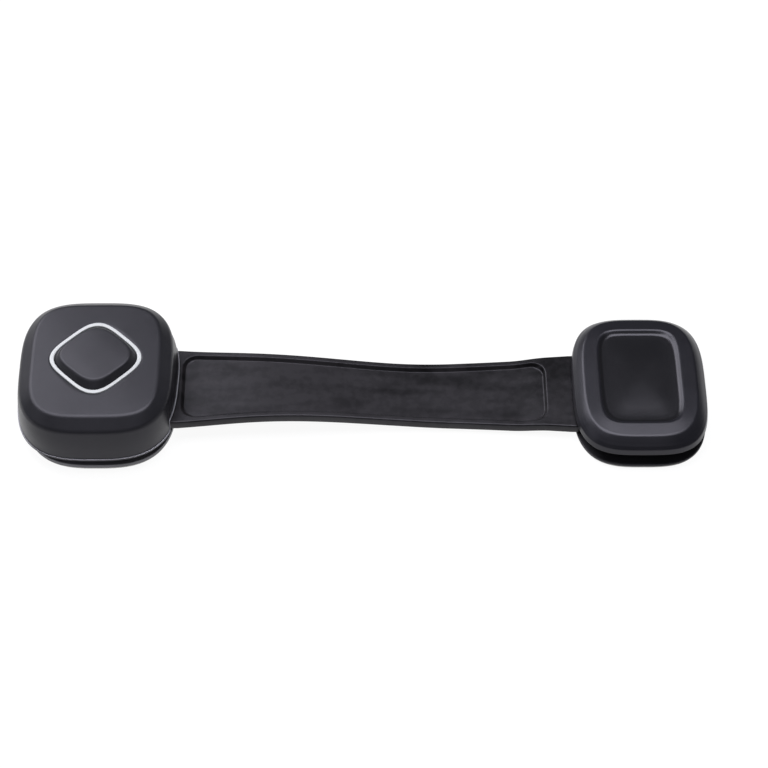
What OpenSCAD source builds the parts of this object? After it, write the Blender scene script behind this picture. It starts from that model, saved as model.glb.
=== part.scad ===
// Adhesive strap lock for cupboard doors and drawers: a push-button latch, a flexible strap
// and a swivelling anchor. The origin is the middle of the lock on the surface it sticks to.
// +X runs from the latch to the anchor, +Z points away from that surface.

/* [Whole lock] */
// Distance between the centres of the two pads
pad_spacing = 164.85; // [150:0.05:200]
// Thickness of the adhesive foam under both ends
foam_t = 0.8; // [0.6:0.1:1.2]
// How far the foam stays inside the edge of its plate
foam_inset = 0.35; // [0.2:0.05:1.5]
// Running gap between pieces that move past each other
run_gap = 0.3; // [0.2:0.05:0.35]
// Radial clearance of the swivel on its post and of screws in their holes
pivot_gap = 0.05; // [0.02:0.01:0.09]

/* [Latch housing] */
// Width of the housing along the strap
latch_w = 49.5; // [47:0.5:58]
// Depth of the housing across the strap
latch_d = 54.1; // [50:0.5:62]
// Height of the housing's top above the surface
latch_h = 20; // [19.5:0.1:23]
// Height of the housing's lower rim above the surface
latch_rim_z = 5.3; // [5.1:0.1:5.8]
// Height of the small lip round the rim
rim_lip_h = 0.5; // [0.3:0.05:0.8]
// How far that lip stands out from the wall
rim_lip_out = 0.3; // [0.15:0.05:0.5]
// Wall of the housing
latch_wall = 2; // [1.6:0.1:2.2]
// How far the soft edge of the side wall leans in
crease_in = 1.6; // [1:0.1:2.5]
// How far the soft edge of the side wall lies below the top
crease_drop = 3.4; // [2.5:0.1:4]
// How far the top's edge lies inside the rim
plateau_in = 5.05; // [4.5:0.05:6]
// How far the top's edge lies below its middle
latch_crown = 0.35; // [0.1:0.05:0.6]
// Small roundings on the housing and the cap
edge_r = 0.5; // [0.3:0.05:0.6]

/* [Latch base] */
// Thickness of the latch's base plate
latch_plate_t = 1.4; // [1.2:0.1:1.6]
// Width of the base plate along the strap
latch_plate_w = 46; // [43:0.5:52]
// Depth of the base plate across the strap
latch_plate_d = 52.2; // [48:0.1:58]
// How far the base plate sits towards the strap
latch_plate_shift = 0.5; // [0:0.1:0.6]
// Thickness of the chassis floor
chassis_t = 1.4; // [1.2:0.1:1.6]
// Height of the runners that carry the tongue, above the chassis floor
runner_h = 0.8; // [0.6:0.1:1]
// How far the chassis wall stays inside the housing's rim
chassis_in = 3.3; // [3:0.1:4]
// Thickness of the chassis wall
chassis_wall = 1.2; // [1:0.1:1.5]
// Height of the chassis wall above its floor
chassis_wall_h = 4.5; // [3.5:0.1:6]

/* [Button] */
// Grey ring, outside, across its flats
ring_across = 23.8; // [23:0.05:25]
// Width of the grey ring
ring_w = 1.15; // [0.9:0.05:1.4]
// Depth of the grey ring
ring_t = 1.35; // [1.1:0.05:1.5]
// How far the ring stands above the housing's top
ring_proud = 0.15; // [0.05:0.05:0.3]
// Gap between the button and its ring
button_gap = 0.15; // [0.1:0.05:0.3]
// How far the button and ring sit towards the back
button_back = 1.1; // [0:0.1:1.5]
// Height of the button above the housing's top
button_rise = 2.25; // [1.5:0.05:3]
// How far the button's sloped skirt leans in
button_lean = 1.8; // [1.5:0.1:2.5]
// Travel of the button
button_travel = 2.4; // [2.2:0.1:2.6]
// Thickness of the flange that keeps the button under the ring
flange_t = 1.2; // [1:0.1:1.5]
// How far the flange reaches past the ring's opening
flange_lip = 1.3; // [1:0.1:1.6]

/* [Button spring] */
// Wire of the button's spring
spring_wire = 0.6; // [0.5:0.05:0.7]
// Outside diameter of the button's spring
spring_d = 7; // [6.4:0.1:7.4]
// Curls of the button's spring
spring_count = 5; // [4:1:6]

/* [Tongue and catch] */
// Thickness of the tongue
tongue_t = 2.5; // [2.2:0.1:2.8]
// Half the width of the arrow head's shoulders
head_half = 7.4; // [7:0.1:7.8]
// Room between the back of the catch and the chassis wall
catch_room = 1.8; // [1.4:0.1:2.4]
// Half the width of the arrow head's nose
nose_half = 3; // [2:0.1:4]
// How far each hook reaches behind the arrow head
hook_bite = 1.5; // [1.2:0.1:1.6]
// Length of each hook along the tongue
hook_l = 3.3; // [2.8:0.1:3.8]
// Thickness of the catch's spring arms
arm_t = 1.2; // [1:0.1:1.4]
// Gap between the arrow head and the spring arms
arm_gap = 1.2; // [1:0.1:1.4]
// Height of the catch's spring arms
arm_h = 2.3; // [2:0.1:2.4]
// How far behind the housing's middle the arrow head's shoulders sit
head_back = 6; // [5.5:0.1:6.5]
// Rivets of the tongue, shank diameter
rivet_d = 2.5; // [2:0.1:3]
// Rivets of the tongue, head diameter
rivet_head_d = 4.4; // [4:0.1:5]

/* [Strap] */
// Thickness of the strap
strap_t = 3; // [2.8:0.1:3.2]
// Half the width of the strap at the latch
strap_latch_half = 14.3; // [13.6:0.1:14.6]
// Half the width of the strap at its waist
strap_waist_half = 11.35; // [10:0.05:13]
// Half the width of the strap at the anchor
strap_anchor_half = 14.1; // [13.5:0.1:15]
// Height of the strap's underside at its high stretch beside the latch
strap_high_z = 5.4; // [4.9:0.05:5.6]
// Height of the strap's underside at its low stretch
strap_low_z = 0.9; // [0.6:0.05:1.8]
// Width of the rim round the strap's long recess
recess_rim = 1.7; // [1:0.1:2]
// Depth of the strap's long recess
recess_depth = 0.85; // [0.5:0.05:1]
// How far the recess's walls lean in
recess_lean = 0.8; // [0.4:0.1:1.2]
// Corner radius of the strap's long recess
recess_corner = 5; // [3:0.1:7]
// Plain stretch between the recess and the anchor's cap
recess_stop = 7.7; // [5:0.1:12]

/* [Anchor cap] */
// Width of the cap along the strap
cap_w = 40.8; // [39:0.1:46]
// Depth of the cap across the strap
cap_d = 52.1; // [48:0.1:58]
// Height of the cap's top above the surface
cap_h = 11.2; // [11:0.1:13]
// Height of the cap's lower rim above the surface
cap_rim_z = 6; // [5.6:0.1:6.4]
// Wall of the cap
cap_wall = 1.6; // [1.4:0.1:1.7]
// Height of the cap's upright rim band
cap_band_h = 2; // [1.2:0.1:2.4]
// How far the band's upper edge lies inside its rim
cap_band_in = 0.3; // [0.1:0.05:0.5]
// How far the edge of the cap's top lies inside its rim
cap_top_in = 2.9; // [2.6:0.05:4]
// How far that edge lies below the edge of the dish
cap_crown = 0.22; // [0.05:0.01:0.4]
// How far the edge of the cap's dish lies inside its rim
dish_in = 7.5; // [6.5:0.05:8]
// How far the dish sits towards the back
dish_back = 0.5; // [0:0.1:0.6]
// How far the slope into the dish reaches
dish_lean = 1.8; // [1:0.1:2.2]
// Depth of the cap's dish
dish_depth = 0.55; // [0.3:0.05:0.7]

/* [Anchor base] */
// Thickness of the anchor's base plate
anchor_plate_t = 0.8; // [0.7:0.1:1.2]
// Width of the anchor's base plate along the strap
anchor_plate_w = 40.8; // [39:0.1:46]
// Depth of the anchor's base plate across the strap
anchor_plate_d = 52.7; // [48:0.1:58]
// Diameter of the post that the anchor turns on
post_d = 8; // [7.5:0.1:8.5]
// Diameter of the hub round the post
hub_d = 14; // [13:0.1:14.5]
// Thickness of the plate that turns with the strap
swivel_t = 1.2; // [1:0.1:1.4]
// Half the width and length of the plate that turns with the strap
swivel_half = 12.2; // [11.8:0.1:12.4]
// Thickness of the slip washer under that plate
slip_t = 0.25; // [0.2:0.05:0.3]
// Thickness of the steel washer on the post
pivot_washer_t = 0.6; // [0.5:0.1:0.7]

/* [Screws] */
// Shank diameter of the housing and cap screws
screw_d = 2.4; // [2.2:0.1:2.6]
// Head diameter of the housing and cap screws
screw_head_d = 4.4; // [4:0.1:4.6]
// Height of the countersunk screw heads
screw_head_h = 1; // [0.8:0.1:1]
// Shank diameter of the two catch screws
catch_screw_d = 1.4; // [1.2:0.1:1.5]
// Head diameter of the two catch screws
catch_head_d = 3.4; // [3.2:0.1:3.8]
// Shank diameter of the pivot screw
pivot_screw_d = 3; // [2.6:0.1:3.4]
// Head diameter of the pivot screw
pivot_head_d = 6.4; // [6:0.1:7.2]

/* [Hidden] */

black = [0.13, 0.13, 0.15];
soft_black = [0.17, 0.17, 0.19];
strap_black = [0.11, 0.11, 0.12];
inner_black = [0.08, 0.08, 0.09];
ring_grey = [0.84, 0.85, 0.86];
catch_white = [0.9, 0.88, 0.82];
steel = [0.72, 0.73, 0.75];
foam_white = [0.92, 0.92, 0.9];

// Round things are cut with this many facets where a mesh is shown
$fn = 64;
// Points round each soft square outline
outline_count = 72;
// Squareness of the soft square outlines: 2 is an ellipse, larger is squarer
latch_rim_share = 2.88;
latch_top_share = 3.96;
latch_plate_share = 2.85;
cap_share = 3.45;
anchor_plate_share = 3.15;
diamond_share = 3.6;
// How much of the top's squareness the side wall's upper edge has
crease_blend_share = 0.3;
// The side wall bulges: inset and height of its fullest place
bulge_in_share = 0.45;
bulge_rise_share = 0.6;
// Steps of the crowned top, from its edge inwards
crown_shares = [1, 0.85, 0.65, 0.4];
// One overrun for all cuts
cut = 1;
// Flat-to-corner ratio of the rounded diamond
diamond_reach_share = pow(2, 0.5 - 1 / diamond_share);

// Places along the lock
lock_w = latch_w / 2 + pad_spacing + cap_w / 2;
latch_x = latch_w / 2 - lock_w / 2;
anchor_x = latch_x + pad_spacing;
wall_x = latch_x + latch_w / 2;
cap_edge_x = anchor_x - cap_w / 2;

// Heights in the latch
latch_plate_z = foam_t + latch_plate_t;
floor_z = latch_plate_z + chassis_t;
runner_z = floor_z + runner_h;
tongue_z = runner_z + run_gap;
tongue_top_z = tongue_z + tongue_t;
notch_z = tongue_z + strap_t + run_gap;
ceiling_z = latch_h - latch_wall;
flange_top_z = ceiling_z - run_gap;
flange_z = flange_top_z - flange_t;
wedge_tip_z = tongue_top_z + run_gap + button_travel;
chassis_top_z = floor_z + chassis_wall_h;

// The button's outlines, from the middle to a flat
ring_half = ring_across / 2;
ring_hole_half = ring_half - ring_w;
button_half = ring_hole_half - button_gap;
flange_half = ring_hole_half + flange_lip;

// The catch and what the button's wedge does to it
hook_half = head_half - hook_bite;
neck_half = hook_half - run_gap;
arm_in = head_half + arm_gap;
arm_out = arm_in + arm_t;
ear_in = head_half + run_gap;
ear_z = wedge_tip_z;
ear_top_z = ear_z + arm_out - ear_in;
wedge_gap = run_gap * sqrt(2);
wedge_tip_half = ear_in - wedge_gap;
wedge_half = wedge_tip_half + button_travel + run_gap;
wedge_in = spring_d / 2 + 2 * spring_wire;
shoulder_x = latch_x - head_back;
hook_x = shoulder_x + run_gap;
catch_peg_d = catch_head_d - edge_r * 2;
catch_back_w = catch_peg_d + edge_r;
catch_back_x = latch_x - latch_w / 2 + chassis_in + chassis_wall + catch_room + catch_back_w;
nose_x = catch_back_x + 3 * run_gap;
catch_peg_x = catch_back_x - catch_back_w / 2;
catch_peg_y = head_half - arm_t;
arm_end_x = hook_x + hook_l + arm_t;
// The bridge over the tongue that carries the spring
bridge_z = tongue_top_z + run_gap + pivot_gap;
bridge_t = chassis_wall;
bridge_x = latch_x + arm_t;
seat_r = spring_d / 2 + spring_wire;
bridge_w = seat_r;
bridge_leg_y = arm_out + button_travel + run_gap;
bridge_leg_t = latch_wall;
// Channel that guides the arrow head on its way out
channel_half = head_half + run_gap;
channel_t = chassis_wall;
channel_x = latch_x + seat_r + arm_t;
guide_x = channel_x + chassis_wall;

// The strap's hidden end, joined to the tongue by a lap and two rivets
lap_share = 1.5;
lap_t_share = 0.4;
lap_half_share = 0.7;
rivet_y_share = 0.45;
rivet_head_share = 0.2;
lap_l = rivet_head_d * lap_share;
strap_start_x = wall_x - latch_wall - lap_l + edge_r;
lap_x = strap_start_x + lap_l / 2;
lap_t = strap_t * lap_t_share;
lap_half = strap_latch_half * lap_half_share;
rivet_y = strap_latch_half * rivet_y_share;
rivet_head_t = strap_t * rivet_head_share;
tongue_guide_x = channel_x + neck_half / 2;

// Heights in the anchor
anchor_plate_z = foam_t + anchor_plate_t;
swivel_z = anchor_plate_z + slip_t + pivot_gap;
strap_anchor_z = anchor_plate_z + run_gap;
strap_anchor_top_z = strap_anchor_z + strap_t;
hub_rise_share = 0.6;
hub_top_z = strap_anchor_top_z + strap_t * hub_rise_share;
post_top_z = hub_top_z + pivot_gap;
pivot_head_z = post_top_z + pivot_washer_t;
cap_ceiling_z = cap_h - dish_depth - cap_wall;
pivot_head_h = cap_ceiling_z - pivot_head_z - run_gap;
anchor_reach_share = 0.92;
anchor_reach = strap_anchor_half * anchor_reach_share;
strap_end_x = anchor_x + anchor_reach;
cap_screw_share = 0.74;
cap_screw_at = swivel_half * cap_screw_share;
boss_share = 2.1;
boss_d = screw_d * boss_share;

// Where the housing's screws go, as shares of its half width and half depth
housing_screw_x_share = 0.56;
housing_screw_y_share = 0.62;
housing_screw_x = latch_w / 2 * housing_screw_x_share;
housing_screw_y = latch_d / 2 * housing_screw_y_share;
housing_screw_top_z = latch_rim_z + 2 * screw_d;

// A point of a soft square outline at an angle
function soft_r(t, a, b, n) = pow(pow(abs(cos(t)) / a, n) + pow(abs(sin(t)) / b, n), -1 / n);
function soft_square(a, b, n, turn = 0) = [
    for (i = [0 : outline_count - 1])
        let (t = 360 * i / outline_count, r = soft_r(t - turn, a, b, n)) [r * cos(t), r * sin(t)]
];
function diamond(half) = soft_square(half, half, diamond_share, 45);
function raise(points, z) = [for (p = points) [p.x, p.y, z]];
// Outlines at an inset and a height, round the middle of the latch or the anchor
function latch_ring(inset, share, z) =
    raise(soft_square(latch_w / 2 - inset, latch_d / 2 - inset, share), z);
function cap_ring(inset, z) = raise(soft_square(cap_w / 2 - inset, cap_d / 2 - inset, cap_share), z);
function dish_ring(inset, z) = [for (p = cap_ring(inset, z)) p + [0, dish_back, 0]];
function latch_plate_ring(inset, z) =
    raise(soft_square(latch_plate_w / 2 - inset, latch_plate_d / 2 - inset, latch_plate_share), z);
function anchor_plate_ring(inset, z) =
    raise(soft_square(anchor_plate_w / 2 - inset, anchor_plate_d / 2 - inset, anchor_plate_share), z);
function mix(a, b, t) = a + (b - a) * t;
// Rises smoothly from 0 to 1 while x goes from a to b
function ease(x, a, b) = x <= a ? 0 : x >= b ? 1 : (1 - cos(180 * (x - a) / (b - a))) / 2;

// Solid between rings of points, from the first to the last; looped when it has no ends
module loft(rings, looped = false) {
    n = len(rings[0]);
    last = len(rings) - (looped ? 1 : 2);
    sides = [
        for (j = [0 : last], i = [0 : n - 1])
            let (
                k = (i + 1) % n,
                up = (j + 1) % len(rings),
                a = j * n + i,
                b = j * n + k,
                c = up * n + k,
                d = up * n + i
            )
            each [[a, c, b], [a, d, c]]
    ];
    ends = looped ? [] : [
        [for (i = [0 : n - 1]) i],
        [for (i = [n - 1 : -1 : 0]) (len(rings) - 1) * n + i]
    ];
    polyhedron(points = [for (ring = rings) each ring], faces = concat(sides, ends));
}

module at_latch(z = 0) {
    translate([latch_x, 0, z]) children();
}

module at_latch_plate() {
    translate([latch_x + latch_plate_shift, 0]) children();
}

module at_button(z = 0) {
    translate([latch_x, button_back, z]) children();
}

module at_anchor(z = 0) {
    translate([anchor_x, 0, z]) children();
}

// Copies at both sides of the lock's middle line
module both_sides() {
    children();
    mirror([0, 1, 0]) children();
}

module at_corners(x, y) {
    for (sx = [-1, 1], sy = [-1, 1]) translate([sx * x, sy * y]) children();
}

// Block between two corners
module block(low, high) {
    translate(low) cube(high - low);
}

// Screw pointing up from the surface, its countersunk head at the bottom
module countersunk(shank_r, head_r, head_h, length) {
    cylinder(h = head_h, r1 = head_r, r2 = shank_r);
    cylinder(h = length, r = shank_r);
}

// Hole that such a screw passes through
module countersink(shank_r, head_r, head_h, length) {
    countersunk(shank_r, head_r, head_h, length);
    translate([0, 0, -cut]) cylinder(h = cut, r = head_r);
}

module latch_adhesive_pad() {
    color(foam_white) at_latch_plate()
        loft([latch_plate_ring(foam_inset, 0), latch_plate_ring(foam_inset, foam_t)]);
}

// Plate with a softened upper edge, stuck to the cupboard by the foam
module latch_base_plate() {
    soft = latch_plate_t / 3;
    color(black) difference() {
        at_latch_plate() loft([
            latch_plate_ring(0, foam_t),
            latch_plate_ring(0, latch_plate_z - soft),
            latch_plate_ring(soft / 4, latch_plate_z - soft / 3),
            latch_plate_ring(soft, latch_plate_z)
        ]);
        at_latch(foam_t) at_corners(housing_screw_x, housing_screw_y)
            countersink(screw_d / 2 + pivot_gap, screw_head_d / 2 + pivot_gap, screw_head_h,
                latch_plate_t + cut);
    }
}

// Tray that carries the catch, the tongue's runners and the bridge for the spring
module latch_chassis() {
    a = latch_w / 2 - chassis_in;
    b = latch_d / 2 - chassis_in;
    color(inner_black) difference() {
        union() {
            at_latch(latch_plate_z) linear_extrude(chassis_t)
                polygon(soft_square(a, b, latch_rim_share));
            at_latch(latch_plate_z) linear_extrude(chassis_t + chassis_wall_h) difference() {
                polygon(soft_square(a, b, latch_rim_share));
                polygon(soft_square(a - chassis_wall, b - chassis_wall, latch_rim_share));
            }
            both_sides() chassis_side();
            chassis_bridge();
        }
        // Gate for the strap in the wall
        block([guide_x, -strap_latch_half - run_gap, runner_z],
            [wall_x + cut, strap_latch_half + run_gap, chassis_top_z + cut]);
        at_latch() at_corners(housing_screw_x, housing_screw_y)
            cylinder(h = floor_z + cut, r = screw_d / 2 + pivot_gap);
        // Room for the housing's bosses beside the wall
        at_latch(floor_z) at_corners(housing_screw_x, housing_screw_y)
            cylinder(h = chassis_wall_h + cut, r = boss_d / 2 + pivot_gap);
        both_sides() translate([catch_peg_x, catch_peg_y, floor_z])
            cylinder(h = chassis_top_z, r = catch_screw_d / 2 + pivot_gap);
    }
}

module chassis_side() {
    // Runner under the tongue and the catch's arm
    block([nose_x, hook_half - arm_t, floor_z - edge_r], [strap_start_x - run_gap, hook_half, runner_z]);
    // Peg for the catch
    translate([catch_peg_x, catch_peg_y, floor_z - edge_r])
        cylinder(h = runner_z + run_gap + arm_h - floor_z + edge_r, r = catch_peg_d / 2);
    // Wall that guides the arrow head
    block([channel_x, channel_half, floor_z - edge_r],
        [guide_x + seat_r, channel_half + channel_t, tongue_top_z]);
    // Leg of the bridge
    block([bridge_x, bridge_leg_y, floor_z - edge_r],
        [bridge_x + bridge_w, bridge_leg_y + bridge_leg_t, bridge_z + bridge_t]);
}

// Bridge over the tongue, with the cup that the spring stands in
module chassis_bridge() {
    block([bridge_x, -bridge_leg_y - bridge_leg_t, bridge_z],
        [bridge_x + bridge_w, bridge_leg_y + bridge_leg_t, bridge_z + bridge_t]);
    at_latch(bridge_z) cylinder(h = bridge_t, r = seat_r);
    at_latch(bridge_z) cylinder(h = bridge_t + 2 * spring_wire, r = spring_d / 2 - 2 * spring_wire);
}

// Soft square shell with a sloped shoulder, an opening for the button and a gate for the strap
module latch_housing() {
    in_crease = crease_in + latch_wall;
    inner_top_in = plateau_in + latch_wall / 2;
    crease_z = latch_h - crease_drop;
    top_share = latch_top_share;
    rim_share = latch_rim_share;
    crease_share = mix(rim_share, top_share, crease_blend_share);
    top_half = latch_w / 2 - plateau_in - edge_r;
    color(black) difference() {
        union() {
            at_latch() loft([
                latch_ring(inner_top_in, top_share, ceiling_z),
                latch_ring(in_crease + edge_r, crease_share, crease_z),
                latch_ring(in_crease, crease_share, crease_z - 2 * edge_r),
                latch_ring(latch_wall, rim_share, latch_rim_z),
                latch_ring(rim_lip_out / 2, rim_share, latch_rim_z),
                latch_ring(0, rim_share, latch_rim_z + rim_lip_h / 2),
                latch_ring(rim_lip_out / 4, rim_share, latch_rim_z + rim_lip_h),
                latch_ring(rim_lip_out, rim_share, latch_rim_z + rim_lip_h + rim_lip_out / 4),
                latch_ring(crease_in * bulge_in_share, (rim_share + crease_share) / 2,
                    mix(latch_rim_z, crease_z, bulge_rise_share)),
                latch_ring(crease_in - edge_r / 2, crease_share, crease_z - edge_r),
                latch_ring(crease_in + edge_r / 2, crease_share, crease_z + edge_r / 2),
                latch_ring(plateau_in - edge_r, top_share, latch_h - latch_crown - edge_r / 2),
                for (share = crown_shares)
                    latch_ring(latch_w / 2 - top_half * share, top_share,
                        latch_h - latch_crown * pow(share, 2))
            ]);
            at_latch(floor_z) at_corners(housing_screw_x, housing_screw_y)
                cylinder(h = ceiling_z - floor_z + latch_wall / 2, r = boss_d / 2);
        }
        // Opening that the button's shank passes through
        at_button(ceiling_z - cut) linear_extrude(latch_wall + 2 * cut) polygon(diamond(ring_hole_half));
        // Seat of the grey ring
        at_button(latch_h + ring_proud - ring_t) linear_extrude(ring_t + cut)
            polygon(diamond(ring_half));
        // Gate for the strap in the wall
        block([latch_x + latch_w / 4, -strap_latch_half - run_gap, floor_z],
            [wall_x + cut, strap_latch_half + run_gap, notch_z]);
        at_latch(floor_z - cut) at_corners(housing_screw_x, housing_screw_y)
            cylinder(h = housing_screw_top_z + cut - floor_z, r = screw_d / 2 + pivot_gap);
    }
}

// Grey trim ring with a rounded top, let into the housing
module button_ring() {
    z = latch_h + ring_proud;
    soft = ring_w / 4;
    color(ring_grey) at_button() loft([
        raise(diamond(ring_half), z - ring_t),
        raise(diamond(ring_half), z - soft),
        raise(diamond(ring_half - soft), z),
        raise(diamond(ring_hole_half + soft), z),
        raise(diamond(ring_hole_half), z - soft),
        raise(diamond(ring_hole_half), z - ring_t)
    ], looped = true);
}

// Push button: a crowned diamond, a shank, a flange and the two wedges that spread the catch
module release_button() {
    top_half = button_half - button_lean;
    z = latch_h + button_rise;
    foot_z = latch_h - edge_r;
    crown = edge_r / 4;
    color(soft_black) {
        difference() {
            at_button() loft([
                raise(diamond(flange_half), flange_z),
                raise(diamond(flange_half), flange_top_z),
                raise(diamond(button_half), flange_top_z),
                raise(diamond(button_half), foot_z),
                raise(diamond(button_half - edge_r / 2), latch_h),
                raise(diamond(top_half + edge_r), z - 2 * edge_r),
                raise(diamond(top_half), z - edge_r),
                raise(diamond(top_half - edge_r), z - crown),
                raise(diamond(top_half / 2), z)
            ]);
            // Pocket that holds the top of the spring
            at_latch(flange_z - cut)
                cylinder(h = flange_t + cut + spring_wire, r = spring_d / 2 + spring_wire / 2);
        }
        both_sides() button_wedge();
    }
}

module button_wedge() {
    x = hook_x + edge_r / 2;
    translate([x, 0, 0]) rotate([90, 0, 90]) linear_extrude(hook_l - edge_r)
        polygon([
            [wedge_in, wedge_tip_z],
            [wedge_tip_half, wedge_tip_z],
            [wedge_half, wedge_tip_z + wedge_half - wedge_tip_half],
            [wedge_half, flange_z + flange_t / 4],
            [wedge_in, flange_z + flange_t / 4]
        ]);
}

// Coil spring between the bridge and the button
spring_low_z = bridge_z + bridge_t;
spring_high_z = flange_z + flange_t + spring_wire;
spring_coil_r = (spring_d - spring_wire) / 2;
spring_rise = spring_high_z - spring_low_z - spring_wire;
spring_ring_count = 8;
spring_side_count = 6;
function coil_centre(turn) = [
    spring_coil_r * cos(360 * turn),
    spring_coil_r * sin(360 * turn),
    spring_low_z + spring_wire / 2 + spring_rise * turn / spring_count
];
function coil_ring(turn) = [
    for (i = [0 : spring_side_count - 1])
        let (
            t = 360 * i / spring_side_count,
            r = spring_coil_r + spring_wire / 2 * cos(t),
            z = coil_centre(turn).z + spring_wire / 2 * sin(t)
        )
        [r * cos(360 * turn), r * sin(360 * turn), z]
];
// Least gap between one curl and the next
spring_gap = min([
    for (i = [0 : spring_ring_count])
        norm(coil_centre(1 + i / spring_ring_count) - coil_centre(i / spring_ring_count))
]) - spring_wire;
echo(spring_gap = spring_gap);

module button_spring() {
    color(steel) at_latch()
        loft([for (i = [0 : spring_count * spring_ring_count]) coil_ring(i / spring_ring_count)]);
}

// One-piece plastic spring: two arms with hooks behind the arrow head and ears for the wedges
module catch_clip() {
    z = runner_z + run_gap / 2;
    color(catch_white) difference() {
        union() {
            block([catch_back_x - catch_back_w, -arm_out + arm_t, z],
                [catch_back_x, arm_out - arm_t, z + arm_h]);
            both_sides() clip_arm(z);
        }
        both_sides() translate([catch_peg_x, catch_peg_y, z - cut])
            cylinder(h = arm_h + 2 * cut, r = catch_peg_d / 2 + pivot_gap);
    }
}

module clip_arm(z) {
    // Arm, with a rounded root
    translate([0, 0, z]) linear_extrude(arm_h) {
        polygon([
            [catch_back_x - catch_back_w + arm_t, arm_out],
            [catch_back_x - catch_back_w, arm_out - arm_t],
            [catch_back_x - catch_back_w, arm_in - arm_t],
            [catch_back_x, arm_in - arm_t],
            [catch_back_x, arm_in],
            [arm_end_x, arm_in],
            [arm_end_x, arm_out]
        ]);
        // Hook, sloped where the arrow head pushes in
        polygon([
            [hook_x, arm_in + arm_t / 2],
            [hook_x, hook_half],
            [hook_x + hook_l / 3, hook_half],
            [hook_x + hook_l, arm_in],
            [hook_x + hook_l, arm_in + arm_t / 2]
        ]);
    }
    // Ear, sloped where the button's wedge comes down
    translate([hook_x, 0, 0]) rotate([90, 0, 90]) linear_extrude(hook_l)
        polygon([
            [arm_out, z],
            [arm_in, z],
            [arm_in, tongue_top_z + run_gap],
            [ear_in, tongue_top_z + run_gap],
            [ear_in, ear_z],
            [arm_out - arm_t / 4, ear_top_z - arm_t / 4],
            [arm_out, ear_top_z - arm_t / 4]
        ]);
}

// Two pan-head screws that hold the catch on its pegs
module catch_screws() {
    z = runner_z + run_gap + arm_h;
    color(steel) both_sides() translate([catch_peg_x, catch_peg_y, z]) {
        cylinder(h = catch_screw_d / 2, r = catch_head_d / 2);
        translate([0, 0, -arm_h]) cylinder(h = arm_h, r = catch_screw_d / 2);
    }
}

// Four screws from under the base plate into the housing
module housing_screws() {
    color(steel) at_latch(foam_t) at_corners(housing_screw_x, housing_screw_y)
        countersunk(screw_d / 2, screw_head_d / 2, screw_head_h,
            housing_screw_top_z - foam_t - screw_d / 2);
}

// Stiff tongue: an arrow head, a neck, a guiding foot and a thin lap under the strap's end
module strap_tongue() {
    color(catch_white) difference() {
        union() {
            translate([0, 0, tongue_z]) linear_extrude(tongue_t) tongue_outline();
            block([strap_start_x - run_gap - edge_r, -lap_half, tongue_z],
                [strap_start_x + lap_l, lap_half, tongue_z + lap_t]);
        }
        both_sides() translate([lap_x, rivet_y, tongue_z - cut])
            cylinder(h = strap_t, r = rivet_d / 2 + pivot_gap);
        both_sides() translate([lap_x, rivet_y, tongue_z - cut])
            cylinder(h = cut + lap_t / 3, r = rivet_head_d / 2 + pivot_gap);
    }
}

module tongue_outline() {
    upper = [
        [nose_x, nose_half],
        [nose_x + nose_half / 2, nose_half + nose_half / 3],
        [shoulder_x - edge_r, head_half],
        [shoulder_x, head_half],
        [shoulder_x, neck_half],
        [channel_x, neck_half],
        [tongue_guide_x, head_half],
        [strap_start_x - run_gap, head_half]
    ];
    n = len(upper);
    polygon(concat(upper, [for (i = [n - 1 : -1 : 0]) [upper[i].x, -upper[i].y]]));
}

// Two rivets, flush with the strap's top
module tongue_rivets() {
    color(steel) both_sides() translate([lap_x, rivet_y, 0]) {
        translate([0, 0, tongue_z]) cylinder(h = strap_t, r = rivet_d / 2);
        translate([0, 0, tongue_z]) cylinder(h = lap_t / 3, r = rivet_head_d / 2);
        translate([0, 0, tongue_z + strap_t - rivet_head_t])
            cylinder(h = rivet_head_t, r = rivet_head_d / 2);
    }
}

// Course of the strap: level at the latch, a low hump, a long step down, a dip, a rise to the anchor
strap_run = cap_edge_x - wall_x;
hump_share = 0.205;
step_share = 0.695;
dip_share = 0.84;
sweep_share = 0.82;
strap_hump_x = wall_x + strap_run * hump_share;
strap_step_x = wall_x + strap_run * step_share;
strap_dip_x = wall_x + strap_run * dip_share;
// The strap is at its anchor height before the corners of the turning plate reach it
anchor_sweep_r = norm([anchor_plate_w / 2, anchor_plate_d / 2]) * sweep_share;
strap_rise_x = anchor_x - anchor_sweep_r;
function strap_z(x) =
    tongue_z
    + (strap_high_z - tongue_z) * ease(x, wall_x, strap_hump_x)
    - (strap_high_z - strap_low_z) * ease(x, strap_hump_x, strap_step_x)
    + (strap_anchor_z - strap_low_z) * ease(x, strap_dip_x, strap_rise_x);
// Half width of the strap: waisted in the middle, rounded at the anchor, trimmed inside the latch
waist_share = 0.55;
latch_flare_share = 1.9;
anchor_flare_share = 1.55;
strap_waist_x = wall_x + strap_run * waist_share;
function flared(x) = x < strap_waist_x
    ? mix(strap_waist_half, strap_latch_half,
        pow((strap_waist_x - max(x, wall_x)) / (strap_waist_x - wall_x), latch_flare_share))
    : mix(strap_waist_half, strap_anchor_half,
        pow((min(x, cap_edge_x) - strap_waist_x) / (cap_edge_x - strap_waist_x), anchor_flare_share));
// A corner arc at an end of a long outline: how much narrower it is at a distance from that end
function corner_loss(distance, r) =
    distance >= r ? 0 : r - sqrt(max(0, r * r - pow(r - distance, 2)));
end_corner_share = 0.75;
end_corner = anchor_reach * end_corner_share;
function strap_half(x) = flared(x)
    - corner_loss(strap_end_x - x, end_corner)
    - corner_loss(x - strap_start_x, 2 * edge_r);
// Where the rim's inner point lies on the plain ends of the strap
plain_share = 0.6;
recess_start_x = wall_x + recess_rim / 2;
recess_end_x = cap_edge_x - recess_stop;
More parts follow.
